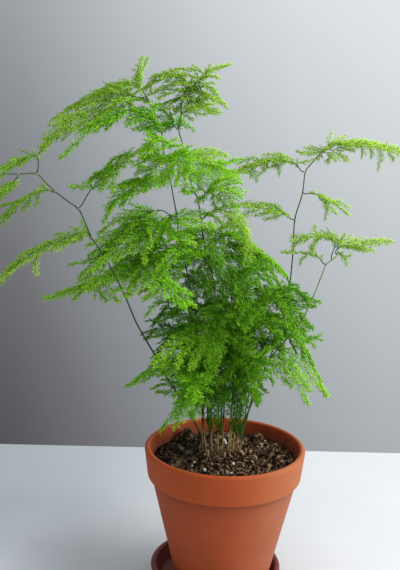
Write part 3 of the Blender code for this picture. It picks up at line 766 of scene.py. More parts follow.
lip = SAUCER_WALL / 2
saucer_rim_out = bow(SAUCER_TOP_RADIUS - lip, SAUCER_HEIGHT - lip, lip, 90, 0, 10)
saucer_foot = [(SAUCER_FOOT_RADIUS + 0.0010, 0.0018), (SAUCER_FOOT_RADIUS + 0.0004, 0.0006), (SAUCER_FOOT_RADIUS - 0.0008, 0.0)]
saucer_floor = [(SAUCER_FOOT_RADIUS - 0.0034, SAUCER_FLOOR), (SAUCER_FOOT_RADIUS - 0.0018, SAUCER_FLOOR + 0.0006), (SAUCER_FOOT_RADIUS - 0.0010, SAUCER_FLOOR + 0.0018)]
saucer_rim_in = bow(SAUCER_TOP_RADIUS - lip, SAUCER_HEIGHT - lip, lip, 180, 100, 9)
turned(
    "saucer_thrown",
    [(0.004, SAUCER_FLOOR)]
    + between((0.004, SAUCER_FLOOR), saucer_floor[0], 6)
    + saucer_floor
    + between(saucer_floor[-1], saucer_rim_in[0], 4)
    + saucer_rim_in
    + saucer_rim_out
    + between(saucer_rim_out[-1], saucer_foot[0], 8)
    + saucer_foot
    + between(saucer_foot[-1], (0.004, 0.0), 5)
    + [(0.004, 0.0)],
    SAUCER_CLAY,
    "saucer",
    centre=SAUCER_CENTRE,
    wobble=0.00012,
    seed=5.0,
    axis_caps=True,
)

# ---------------------------------------------------------------- soil


def soil_height(x, y):
    """The height of the soil's surface."""
    r = math.hypot(x, y)
    t = min(r / 0.0615, 1.0)
    z = SOIL_EDGE_Z + SOIL_MOUND * (1 - t * t) ** 1.2 - 0.0004
    bumps = 0.0014 * noise.noise(Vector((x * 75, y * 75, 3.1))) + 0.0010 * noise.noise(Vector((x * 190, y * 190, 7.7)))
    bumps += 0.0006 * noise.noise(Vector((x * 480, y * 480, 1.9)))
    return z + bumps


def soil():
    rings, steps = 36, 150
    edge = inner_radius(SOIL_EDGE_Z) - CLEARANCE
    points = [(0.0, 0.0, soil_height(0.0, 0.0))]
    for i in range(1, rings + 1):
        r = edge * (i / rings)
        for k in range(steps):
            t = 2 * math.pi * k / steps
            x, y = r * math.cos(t), r * math.sin(t)
            z = soil_height(x, y)
            allowed = inner_radius(z) - CLEARANCE
            if r > allowed:
                x, y = x * allowed / r, y * allowed / r
            points.append((x, y, z))
    faces = []
    for k in range(steps):
        m = (k + 1) % steps
        faces.append((0, 1 + k, 1 + m))
    for i in range(1, rings):
        a, b = 1 + (i - 1) * steps, 1 + i * steps
        for k in range(steps):
            m = (k + 1) % steps
            faces.append((a + k, b + k, b + m, a + m))
    last = 1 + (rings - 1) * steps
    for z in (0.110, 0.085, 0.050, inner_floor_z + 0.0034):
        start = len(points)
        r = inner_radius(z) - CLEARANCE
        points += [(r * math.cos(2 * math.pi * k / steps), r * math.sin(2 * math.pi * k / steps), z) for k in range(steps)]
        for k in range(steps):
            m = (k + 1) % steps
            faces.append((last + k, start + k, start + m, last + m))
        last = start
    start = len(points)
    r = inner_radius(inner_floor_z) - 0.0032
    points += [(r * math.cos(2 * math.pi * k / steps), r * math.sin(2 * math.pi * k / steps), inner_floor_z + CLEARANCE) for k in range(steps)]
    for k in range(steps):
        m = (k + 1) % steps
        faces.append((last + k, start + k, start + m, last + m))
    centre = len(points)
    points.append((0.0, 0.0, inner_floor_z + CLEARANCE))
    for k in range(steps):
        faces.append((start + k, centre, start + (k + 1) % steps))
    mesh = bpy.data.meshes.new("soil_surface")
    mesh.from_pydata(points, [], faces)
    mesh.update()
    for polygon in mesh.polygons:
        polygon.use_smooth = True
    mesh.materials.append(soil_material())
    obj = bpy.data.objects.new("soil_surface", mesh)
    pieces.objects.link(obj)
    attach(obj, "root")
    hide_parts("potting_soil")


soil()


def ico(level):
    """Points and faces of an icosahedron, split level times."""
    t = (1 + math.sqrt(5)) / 2
    points = [(-1, t, 0), (1, t, 0), (-1, -t, 0), (1, -t, 0), (0, -1, t), (0, 1, t), (0, -1, -t), (0, 1, -t), (t, 0, -1), (t, 0, 1), (-t, 0, -1), (-t, 0, 1)]
    faces = [(0, 11, 5), (0, 5, 1), (0, 1, 7), (0, 7, 10), (0, 10, 11), (1, 5, 9), (5, 11, 4), (11, 10, 2), (10, 7, 6), (7, 1, 8), (3, 9, 4), (3, 4, 2), (3, 2, 6), (3, 6, 8), (3, 8, 9), (4, 9, 5), (2, 4, 11), (6, 2, 10), (8, 6, 7), (9, 8, 1)]
    points = [Vector(q).normalized() for q in points]
    for _ in range(level):
        made, new = {}, []

        def middle(a, b):
            key = (min(a, b), max(a, b))
            if key not in made:
                made[key] = len(points)
                points.append(((points[a] + points[b]) / 2).normalized())
            return made[key]

        for a, b, c in faces:
            ab, bc, ca = middle(a, b), middle(b, c), middle(c, a)
            new += [(a, ab, ca), (b, bc, ab), (c, ca, bc), (ab, bc, ca)]
        faces = new
    return np.array([tuple(q) for q in points]), np.array(faces)


def lumps(name, centres, sizes, stretch, rough, level, made, seed, smooth_shade=False):
    """Irregular little bodies: crumbs, perlite, bark."""
    rng = np.random.default_rng(seed)
    base, tris = ico(level)
    n, m = len(centres), len(base)
    scale = sizes[:, None] * (1 + stretch * rng.uniform(-1, 1, (n, 3)))
    knobs = unit(rng.normal(size=(n, 5, 3)))
    heights = rng.uniform(-1, 1, (n, 5))
    swell = 1 + rough * np.einsum("nkm,nk->nm", np.maximum(0, np.einsum("nkj,mj->nkm", knobs, base)) ** 3, heights)
    swell *= 1 + 0.25 * rough * rng.uniform(-1, 1, (n, m))
    points = base[None] * swell[..., None] * scale[:, None]
    axis = unit(rng.normal(size=(n, 3)))
    angle = rng.uniform(0, 2 * np.pi, n)
    c, s = np.cos(angle)[:, None, None], np.sin(angle)[:, None, None]
    k = axis[:, None]
    points = points * c + np.cross(k, points) * s + k * np.sum(k * points, -1, keepdims=True) * (1 - c)
    points = points + centres[:, None]
    faces = (tris[None] + (np.arange(n) * m)[:, None, None]).reshape(-1, 3)
    obj = mesh_object(name, points.reshape(-1, 3), faces, None, made, smooth_shade)
    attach(obj, "root")
    return obj


def scatter(rng, count, low_r, high_r, rise):
    """Places on the soil, with how much each body stands up from it."""
    r = np.sqrt(rng.uniform(low_r**2, high_r**2, count))
    t = rng.uniform(0, 2 * np.pi, count)
    x, y = r * np.cos(t), r * np.sin(t)
    z = np.array([soil_height(a, b) for a, b in zip(x, y)]) + rise
    return np.stack([x, y, z], -1)


def on_soil(u, v, rise=0.0):
    """The place on the soil that shows at (u, v)."""
    z = SOIL_EDGE_Z + 0.0005
    for _ in range(4):
        r = ray(u, v)
        p = EYE + r * ((z - EYE[2]) / r[2])
        z = soil_height(p[0], p[1]) + rise
    return p


rng = np.random.default_rng(11)
sizes = rng.gamma(1.6, 0.00046, 1300) + 0.0004
lumps(
    "soil_crumbs",
    scatter(rng, 1300, 0.0, 0.0596, sizes * 0.35),
    sizes,
    0.55,
    0.95,
    0,
    crumb_material("soil_crumbs", [(0.32, (0.007, 0.004, 0.003)), (0.44, (0.034, 0.019, 0.010)), (0.54, (0.165, 0.096, 0.052)), (0.66, (0.480, 0.330, 0.200))]),
    12,
)
sizes = 0.0016 + 0.0038 * rng.random(130) ** 2.4
lumps(
    "soil_clods",
    scatter(rng, 130, 0.008, 0.0580, sizes * 0.26),
    sizes,
    0.4,
    0.8,
    1,
    crumb_material("soil_clods", [(0.32, (0.008, 0.005, 0.003)), (0.48, (0.066, 0.038, 0.020)), (0.66, (0.340, 0.225, 0.130))], 240.0),
    13,
)
marks = [(250, 428), (281, 440), (232, 440), (226, 443), (220, 437.5), (294, 454), (232, 449), (224, 441), (233, 464), (228, 468), (247, 474), (211, 463), (252, 431), (262, 447), (205, 470), (231, 473), (241, 452), (176, 462), (289, 462)]
grains = np.array([on_soil(u, v, 0.0012) for u, v in marks])
grains = grains[np.hypot(grains[:, 0], grains[:, 1]) < 0.0570]
extra = scatter(rng, 26, 0.02, 0.058, 0.0006)
grains = np.vstack([grains, extra])
sizes = np.concatenate([rng.uniform(0.0009, 0.0017, len(grains) - len(extra)), rng.uniform(0.0005, 0.0012, len(extra))])
lumps("perlite_grains", grains, sizes, 0.3, 0.6, 1, crumb_material("perlite", [(0.3, (0.62, 0.60, 0.56)), (0.7, (0.90, 0.89, 0.86))], 300.0, 0.8), 14)

BARK = fibre_material("bark_chips", [(0.25, (0.030, 0.016, 0.009)), (0.5, (0.105, 0.060, 0.031)), (0.75, (0.26, 0.165, 0.090))], (260.0, 900.0, 900.0))


def chips():
    """Flat slivers of bark, lying on the soil."""
    rng = np.random.default_rng(21)
    shape = Shape()
    base, tris = ico(1)
    spots = [(199.5, 455, 0.0048, 0.4), (206, 458, 0.0030, 1.2), (277, 452, 0.0034, 0.2), (252, 446, 0.0030, 2.2), (258, 464, 0.0034, 0.9), (186, 459, 0.0030, 2.6)]
    places = [(on_soil(u, v, 0.0007), size, turn) for u, v, size, turn in spots]
    places = [place for place in places if math.hypot(place[0][0], place[0][1]) < 0.0560]
    for p in scatter(rng, 46, 0.012, 0.055, 0.0005):
        places.append((p, rng.uniform(0.0016, 0.0040), rng.uniform(0, math.pi)))
    for p, size, turn in places:
        flat = base * np.array((size, size * rng.uniform(0.28, 0.5), size * rng.uniform(0.14, 0.26)))
        flat = np.sign(flat) * np.abs(flat) ** 0.92 * (size**0.08)
        flat *= 1 + 0.16 * rng.uniform(-1, 1, (len(flat), 1))
        flat[:, 2] += 0.10 * size * np.sin(flat[:, 0] / size * 2.4)
        tilt = Matrix.Rotation(turn, 3, "Z") @ Matrix.Rotation(rng.uniform(-0.45, 0.45), 3, "X") @ Matrix.Rotation(rng.uniform(-0.35, 0.35), 3, "Y")
        points = flat @ np.array(tilt).T + p
        shape.add(points, tris, np.zeros((len(tris), 3, 2)))
    obj = mesh_object("bark_chips", np.concatenate(shape.points), np.concatenate(shape.faces), None, BARK, False)
    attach(obj, "root")


chips()


def fibres():
    """Thin curved root fibres and straws on the soil."""
    rng = np.random.default_rng(31)
    n, p = 150, 8
    starts = scatter(rng, n, 0.004, 0.052, 0.0006)
    heading = rng.uniform(0, 2 * np.pi, n)
    length = rng.uniform(0.004, 0.013, n)
    curl = rng.uniform(-2.2, 2.2, n)
    t = np.linspace(0, 1, p)
    a = heading[:, None] + curl[:, None] * t
    step = length[:, None] / (p - 1)
    x = starts[:, 0:1] + np.cumsum(np.cos(a) * step, 1)
    y = starts[:, 1:2] + np.cumsum(np.sin(a) * step, 1)
    r = np.hypot(x, y)
    keep = np.minimum(1.0, 0.0592 / r)
    x, y = x * keep, y * keep
    lift = rng.uniform(0.0002, 0.0016, n)[:, None] * np.sin(np.pi * t) + 0.0005
    z = np.array([[soil_height(i, j) for i, j in zip(rx, ry)] for rx, ry in zip(x, y)]) + lift
    points = np.stack([x, y, z], -1)
    radii = rng.uniform(0.00012, 0.00032, n)[:, None] * (1 - 0.5 * t)
    shape = Shape()
    tubes(shape, points, radii, 4, np.broadcast_to(0.05 + 0.9 * t, (n, p)), 0.05, 0.95)
    made = fibre_material("root_fibres", [(0.25, (0.075, 0.042, 0.020)), (0.5, (0.20, 0.125, 0.060)), (0.75, (0.42, 0.30, 0.17))], (300.0, 300.0, 300.0))
    obj = mesh_object("root_fibres", np.concatenate(shape.points), np.concatenate(shape.faces), None, made, True)
    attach(obj, "root")


fibres()


def crown():
    """The knobbly crown at the foot of the stems, nearly covered by soil."""
    base, tris = ico(4)
    scale = np.array(CROWN_SIZE)
    points = []
    for q in base:
        p = Vector(q)
        k = 1.0 + 0.10 * noise.noise(p * 2.6) + 0.05 * noise.noise(p * 7.0) - 0.08
        points.append(np.array(q) * scale * k + np.array(CROWN_CENTRE))
    made = fibre_material("root_crown", [(0.25, (0.030, 0.017, 0.009)), (0.5, (0.095, 0.056, 0.027)), (0.75, (0.24, 0.16, 0.080))], (420.0, 420.0, 520.0))
    obj = mesh_object("crown_knob", np.array(points), tris, None, made, True)
    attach(obj, "root")
    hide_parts("root_crown")

    # dried-out stubs of old stems
    rng = np.random.default_rng(41)
    shape = Shape()
    spots = [(-0.0060, -0.0050), (0.0040, 0.0005), (-0.0150, 0.0000), (0.0150, 0.0060), (0.0100, 0.0170), (-0.0120, 0.0150), (0.0000, -0.0030), (0.0185, 0.0105), (-0.0215, 0.0075), (-0.0030, 0.0045)]
    n, p = len(spots), 7
    t = np.linspace(0, 1, p)
    paths = []
    for x, y in spots:
        lean = rng.normal(0, 0.25, 2)
        high = rng.uniform(0.004, 0.011)
        z = crown_top(x, y) - 0.002
        paths.append(np.stack([x + lean[0] * high * t, y + lean[1] * high * t, z + high * t], -1))
    radii = rng.uniform(0.0009, 0.0015, n)[:, None] * (1.15 - 0.25 * t) * (1 + 0.1 * rng.uniform(-1, 1, (n, p)))
    tubes(shape, np.array(paths), radii, 8, np.broadcast_to(0.05 + 0.9 * t, (n, p)), 0.05, 0.95)
    stub = fibre_material("old_stubs", [(0.25, (0.14, 0.085, 0.040)), (0.5, (0.33, 0.23, 0.12)), (0.75, (0.55, 0.43, 0.26))], (500.0, 500.0, 140.0))
    obj = mesh_object("old_stubs", np.concatenate(shape.points), np.concatenate(shape.faces), None, stub, True)
    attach(obj, "root")


def crown_top(x, y):
    a = (x - CROWN_CENTRE[0]) / CROWN_SIZE[0]
    b = (y - CROWN_CENTRE[1]) / CROWN_SIZE[1]
    return CROWN_CENTRE[2] + CROWN_SIZE[2] * math.sqrt(max(0.0, 1.0 - a * a - b * b))


crown()

# ---------------------------------------------------------------- stems

# name: (base x, base y, radius, then u, v, y up the stem)
STEMS = {
    "stem_left_arching": (
        (-0.0190, 0.0040, 0.00085),
        [(199.5, 433, 0.001), (193, 420, 0.000), (180, 398, -0.002), (164, 373, -0.004), (153, 352, -0.006), (137, 324, -0.008), (125, 296, -0.010), (112, 270, -0.012), (98.7, 248, -0.014), (92, 238, -0.015), (83, 218, -0.016), (78.4, 209, -0.017), (66, 200, -0.018), (55, 191.4, -0.019), (46, 183, -0.020), (36.5, 174, -0.021), (21.6, 174, -0.023), (3, 174.5, -0.025), (-14, 177.5, -0.027)],
        [(92, 238), (78.4, 209), (55, 191.4), (36.5, 174), (18, 174), (125, 296), (164, 373)],
    ),
    "stem_right_tall": (
        (0.0085, 0.0140, 0.00085),
        [(249, 410, 0.022), (265, 370, 0.031), (279, 332, 0.036), (287, 302, 0.037), (290, 283, 0.037), (293, 252, 0.035), (294.9, 219.5, 0.032), (302.3, 194, 0.029), (305.2, 172.5, 0.028), (310.5, 164.6, 0.028), (317.6, 156.6, 0.028), (322.8, 150.6, 0.028)],
        [(294.9, 219.5), (302.3, 194), (305.2, 172.5), (290.5, 269), (279, 332)],
    ),
    "stem_right_low": (
        (0.0130, 0.0045, 0.00080),
        [(247, 417.5, 0.002), (253, 396, 0.000), (260.7, 379, -0.001), (268.4, 361, -0.002), (285, 341, -0.002), (299, 324, 0.000), (307.5, 309.5, 0.002), (316, 290, 0.004), (322.8, 272.7, 0.006), (326, 265, 0.007), (332, 259.7, 0.008), (338, 255, 0.009)],
        [(326, 265), (332, 259.7), (319, 282), (299, 324)],
    ),
    "stem_centre_left": (
        (-0.0130, 0.0095, 0.00080),
        [(209, 420, 0.010), (203, 380, 0.011), (199, 340, 0.012), (194.5, 305, 0.013), (188.8, 280, 0.013), (182.5, 252, 0.012), (178.5, 232, 0.011), (176.8, 216, 0.010), (173, 195, 0.009), (170, 179, 0.008), (164.3, 156, 0.006), (161.4, 131, 0.004), (155, 114, 0.002), (149.8, 103, 0.000), (146.4, 95.6, -0.001)],
        [(182.5, 252), (176.8, 216), (170, 179), (161.4, 131), (149.8, 103), (194.5, 305)],
    ),
    "stem_centre_right": (
        (-0.0060, 0.0145, 0.00080),
        [(221.5, 420, 0.018), (221, 380, 0.022), (219, 330, 0.025), (213, 278, 0.027), (207.5, 255, 0.027), (203.6, 239, 0.027), (200.9, 219, 0.027), (197.8, 199, 0.026), (192.9, 189, 0.025), (188, 170, 0.024), (184.8, 154, 0.023), (182, 142, 0.022), (178.8, 129.6, 0.021), (180.8, 116, 0.021), (182, 102, 0.021), (185.4, 97, 0.021), (192, 91, 0.021), (199.5, 85, 0.021)],
        [(207.5, 255), (200.9, 219), (197.8, 199), (188, 170), (178.8, 129.6), (181, 113), (219, 330)],
    ),
}

STEM_STOPS = {
    "stem_left_arching": [(0.0, (0.36, 0.24, 0.11)), (0.025, (0.16, 0.14, 0.05)), (0.045, (0.032, 0.050, 0.015)), (0.55, (0.030, 0.062, 0.018)), (0.75, (0.055, 0.105, 0.025)), (1.0, (0.11, 0.20, 0.04))],
    "stem_right_tall": [(0.0, (0.42, 0.30, 0.13)), (0.03, (0.24, 0.19, 0.07)), (0.06, (0.050, 0.075, 0.020)), (0.60, (0.030, 0.062, 0.018)), (0.85, (0.050, 0.100, 0.025)), (1.0, (0.13, 0.22, 0.05))],
    "stem_right_low": [(0.0, (0.45, 0.34, 0.16)), (0.04, (0.26, 0.22, 0.08)), (0.08, (0.060, 0.085, 0.022)), (0.60, (0.065, 0.13, 0.025)), (0.80, (0.16, 0.27, 0.05)), (1.0, (0.26, 0.40, 0.07))],
    "stem_centre_left": [(0.0, (0.36, 0.25, 0.11)), (0.025, (0.15, 0.12, 0.04)), (0.045, (0.026, 0.045, 0.014)), (0.8, (0.026, 0.055, 0.016)), (1.0, (0.09, 0.17, 0.035))],
    "stem_centre_right": [(0.0, (0.40, 0.28, 0.12)), (0.028, (0.18, 0.15, 0.05)), (0.05, (0.026, 0.045, 0.014)), (0.8, (0.026, 0.055, 0.016)), (1.0, (0.09, 0.17, 0.035))],
}

stem_paths = {}
for name, ((base_x, base_y, radius), marks, joints) in STEMS.items():
    start = np.array((base_x, base_y, crown_top(base_x, base_y) + CLEARANCE + 0.0004))
    knots = [start] + [sight(*mark) for mark in marks]
    path = Path(smooth(knots, 0.0025))
    stem_paths[name] = (path, radius)
    shape = Shape()
    count = len(path.points)
    share = path.run / path.length
    radii = 0.88 * radius * (1.08 - 0.44 * share)
    shown = seen(path.points)
    spots = [path.run[int(np.argmin(((shown - np.array(j)) ** 2).sum(1)))] for j in joints]
    for s in spots:
        radii = radii * (1 + 0.28 * np.exp(-(((path.run - s) / 0.0016) ** 2)))
    tubes(shape, path.points[None], radii[None], 8, (0.01 + 0.98 * share)[None], 0.02, 0.82)
    # a pale collar and a small dry scale at each joint
    rng = np.random.default_rng(sum(map(ord, name)))
    for s in spots:
        d = np.linspace(-0.0007, 0.0007, 4)
        line = path.at(s + d)
        r = np.interp(s + d, path.run, radii) * np.array((1.00, 1.08, 1.08, 1.00))
        tubes(shape, line[None], r[None], 8, np.linspace(0.2, 0.8, 4)[None], 0.88, 0.98)
        here, along = path.at(s), path.along(s)
        out = unit(np.cross(along, rng.normal(size=3)))
        rr = float(np.interp(s, path.run, radii))
        base = here + out * rr * 0.9
        spine = np.stack([base, base + along * 0.0011 + out * 0.0003, base + along * 0.0020 + out * 0.0008])
        tubes(shape, spine[None], np.array([[0.00032, 0.00026, 0.00004]]), 4, np.array([[0.2, 0.5, 0.8]]), 0.88, 0.98)
    made = stem_material("wiry_" + name, STEM_STOPS[name])
    obj = shape.build("wiry_" + name, made, True, "run")
    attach(obj, "root")
    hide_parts(name)


def on_stem(name, u, v):
    """The point of a stem that shows nearest to (u, v), with its direction and radius there."""
    path, radius = stem_paths[name]
    s = np.linspace(0, path.length, 401)
    fine = path.at(s)
    k = int(np.argmin(((seen(fine) - np.array((u, v))) ** 2).sum(1)))
    k = min(max(k, 1), 399)
    return fine[k], unit(fine[k + 1] - fine[k - 1]), radius * (1.15 - 0.50 * k / 400)


# ---------------------------------------------------------------- foliage


def rotate(v, axis, angle):
    """v turned about axis, angle in radians; arrays of the same length."""
    c, s = np.cos(angle)[..., None], np.sin(angle)[..., None]
    return v * c + np.cross(axis, v) * s + axis * np.sum(axis * v, -1, keepdims=True) * (1 - c)


def turned_side(along, roll):
    """Across a frond, level, towards the front view, and turned down by roll degrees."""
    side = unit(np.cross(along, Z))
    if float(np.mean(side[:, 1])) > 0:
        side = -side
    rise = np.cross(side, along)
    rise = rise * np.where(rise[:, 2:3] < 0, -1.0, 1.0)
    a = math.radians(roll)
    return math.cos(a) * side - math.sin(a) * rise


def tint_noise(points):
    """A slow change of tint from place to place."""
    x, y, z = points[..., 0] * 46, points[..., 1] * 46, points[..., 2] * 46
    return (np.sin(x + 1.3 * np.sin(y * 0.9 + 0.7)) + np.sin(y * 1.1 + 1.7 * np.sin(z * 0.8)) + np.sin(z * 1.2 + 1.1 * np.sin(x * 0.7 + 2.1))) / 3


def twigs(shape, rng, here, slope, level, flip, tt, reach, tint, flat=0.50, thick=0.00033, fine=1.0):
    """Twigs with needles in pairs along them. flat is how far they leave the frond's own plane."""
    across = np.cross(slope, level)
    spread = np.radians(42 - 16 * tt + rng.normal(0, 7, len(tt)))
    tilt = rng.normal(0.05, flat, len(tt))
    direction = unit(
        np.cos(spread)[:, None] * slope
        + np.sin(spread)[:, None] * (across * (flip * np.cos(tilt))[:, None] + level * np.sin(tilt)[:, None])
        - 0.04 * Z
    )
    # painted shade: needles low in the bush, near the pot and right of x = -36 mm, get a darker tint
    low = np.clip((0.174 - here[:, 2]) / 0.030, 0, 1) * (here[:, 0] > -0.036)
    tint = np.clip(tint - 0.36 * low, 0.03, 0.70)
    spikes(shape, here, direction, reach, np.full(len(reach), 0.9 * thick), tint)

    k = 3
    part = (np.array((0.10, 0.40, 0.70))[None] + rng.uniform(-0.07, 0.07, (len(here), k))).ravel()
    rows = np.repeat(np.arange(len(here)), k)
    centre = here[rows] + direction[rows] * (reach[rows] * part)[:, None]
    d = direction[rows]
    helper = unit(np.cross(d, level[rows]))
    spin = rng.normal(0, 1.3 * flat, len(rows)) + np.where(rng.random(len(rows)) < 0.18, 1.4, 0.0)
    out = rotate(helper, d, spin)
    long = 0.0062 * fine * (1.0 - 0.30 * part) * rng.uniform(0.70, 1.18, len(rows)) * np.clip(reach[rows] / (0.0057 * fine), 0.55, 1.05)
    shade = np.clip(tint[rows] + rng.normal(0, 0.030, len(rows)) + 0.04 * part, 0.03, 0.70)
    pairs(shape, centre, d, out, long, np.full(len(rows), thick), shade, 0.88)


def axis_end(shape, rng, path, roll, age, flat, twig, thick, fine):
    """The tip of an axis, as one more tuft."""
    extra = 7
    total = path.length
    s = total - 0.010 * (1 - (np.arange(extra) + 0.5) / extra)
    here, slope = path.at(s), path.along(s)
    side = turned_side(slope, roll)
    level = np.cross(side, slope)
    flip = np.where(np.arange(extra) % 2 == 0, 1.0, -1.0)
    twigs(shape, rng, here, slope, level, flip, np.linspace(0.3, 1, extra), twig * 0.72 * rng.uniform(0.7, 1.0, extra), age + 0.12 + rng.normal(0, 0.03, extra), flat, thick, fine)


def plume_line(shape, rng, points, age=0.45, roll=45.0, twig=0.0058, pitch=0.00104, stalk=0.00024, flat=0.55, bare=0.0, woody=(0.86, 1.0), thick=0.00033, fine=1.0):
    """One plume: twigs on both sides of a thin stalk."""
    path = Path(points)
    total, start = path.length, path.length * bare
    share = path.run / total
    tubes(shape, path.points[None], (stalk * (1 - 0.62 * share))[None], 3, (woody[0] + (woody[1] - woody[0]) * share)[None], STALK_LOW, STALK_HIGH)
    n = max(4, int(round((total - start) / pitch)))
    tt = (np.arange(n) + 0.5 + rng.uniform(-0.3, 0.3, n)) / n
    s = start + tt * (total - start)
    here, slope = path.at(s), path.along(s)
    side = turned_side(slope, roll)
    level = np.cross(side, slope)
    flip = np.where(np.arange(n) % 2 == 0, 1.0, -1.0)
    reach = twig * fine * (0.62 + 0.38 * np.clip(tt / 0.18, 0, 1)) * (1 - 0.50 * tt**2.2) * rng.uniform(0.72, 1.15, n)
    tint = age + 0.12 * tt + 0.10 * tint_noise(here) + rng.normal(0, 0.035, n)
    twigs(shape, rng, here, slope, level, flip, tt, reach, tint, flat, thick, fine)
    return path


def spray(
    shape,
    rng,
    points,
    half,
    bare=0.1,
    age=0.45,
    roll=0.0,
    droop=0.10,
    pitch=0.0030,
    twig_pitch=0.00118,
    twig=0.0057,
    stalk=0.00045,
    woody=(0.60, 1.0),
    fan=54.0,
    flat=0.26,
    brush=0.50,
    thick=0.00033,
    fine=1.0,
):
    """One flat feathery spray: plumes on both sides of an axis, twigs on the plumes, needles on the twigs."""
    path = Path(points)
    total, start = path.length, path.length * bare
    share = path.run / total
    radii = stalk * (1.0 - 0.72 * np.clip((share - bare) / (1 - bare), 0, 1) ** 0.8)
    if woody[0] == 0.0:
        colour = np.interp(path.run, [0.0, 0.017, 0.032, total], [0.02, 0.20, 0.56, 0.92])
    else:
        colour = woody[0] + (woody[1] - woody[0]) * share
    tubes(shape, path.points[None], radii[None], 5, colour[None], STALK_LOW, STALK_HIGH)

    n = max(5, int(round((total - start) / pitch)))
    s = start + (np.arange(n) + 0.45 + rng.uniform(-0.22, 0.22, n)) * (total - start) / n
    t = (s - start) / (total - start)
    base, along = path.at(s), path.along(s)
    side = turned_side(along, roll)
    up = np.cross(side, along)
    up = up * np.where(up[:, 2:3] < 0, -1.0, 1.0)
    sign = np.where(np.arange(n) % 2 == 0, 1.0, -1.0) * (1 if rng.random() < 0.5 else -1)
    rise = np.clip(0.80 + 0.20 * t / 0.12, 0, 1)
    fall = (1 - np.clip(t, 0, 1) ** 1.7) * 0.80 + 0.20
    angle = np.radians(fan - 22.0 * t + rng.normal(0, 5, n))
    length = half / math.sin(math.radians(fan)) * rise * fall * rng.uniform(0.78, 1.14, n)
    first = np.cos(angle)[:, None] * along + (np.sin(angle) * sign)[:, None] * side
    first = unit(first + up * rng.normal(0.04, 0.26 * flat, n)[:, None])
    sag = droop * (0.75 + 0.5 * rng.random(n)) * np.clip(length / 0.022, 0.3, 1.3)
    forward = 0.28

    def plume(index, tt):
        b, f, a = base[index], first[index], along[index]
        span = length[index][..., None]
        w = tt[..., None]
        place = b + span * (w * f + forward * w * w * a - sag[index][..., None] * w * w * Z)
        slope = unit(f + 2 * forward * w * a - 2 * sag[index][..., None] * w * Z)
        return place, slope

    steps = 4
    tt = np.broadcast_to(np.linspace(0, 1, steps), (n, steps))
    index = np.broadcast_to(np.arange(n)[:, None], (n, steps))
    line, _ = plume(index, tt)
    thin = (0.00022 * np.clip(length / 0.02, 0.6, 1.2))[:, None] * (1 - 0.65 * tt)
    tubes(shape, line, thin, 3, 0.84 + 0.16 * tt, STALK_LOW, STALK_HIGH)

    # twigs, on both sides of every plume
    m = np.maximum(3, np.round(length / twig_pitch).astype(int))
    index = np.repeat(np.arange(n), m)
    order = np.concatenate([np.arange(k) for k in m])
    tt = (order + 0.55 + rng.uniform(-0.3, 0.3, len(order))) / m[index]
    here, slope = plume(index, tt)
    flip = np.where((order + index) % 2 == 0, 1.0, -1.0)
    level = unit(up[index] - slope * np.sum(up[index] * slope, -1, keepdims=True))
    reach = twig * fine * (0.62 + 0.38 * np.clip(tt / 0.18, 0, 1)) * (1 - 0.50 * tt**2.2) * rng.uniform(0.72, 1.15, len(tt))
    reach = reach * np.clip(length[index] / 0.014, 0.62, 1.05)
    own = rng.normal(0, 0.050, n)
    tint = age + own[index] + 0.09 * t[index] + 0.11 * tt + 0.10 * tint_noise(here) + rng.normal(0, 0.030, len(tt))
    twigs(shape, rng, here, slope, level, flip, tt, reach, tint, brush, thick, fine)
    axis_end(shape, rng, path, roll, age, brush, twig * fine, thick, fine)
    return path


THICK = {"light": 0.00031, "mid": 0.00038, "deep": 0.00046}
FINE = {"light": 0.84, "mid": 0.94, "deep": 0.97}
CLOSE = {"light": 0.88, "mid": 1.0, "deep": 1.0}


def rand_of(name):
    return np.random.default_rng(sum((k + 3) * ord(c) for k, c in enumerate(name)))


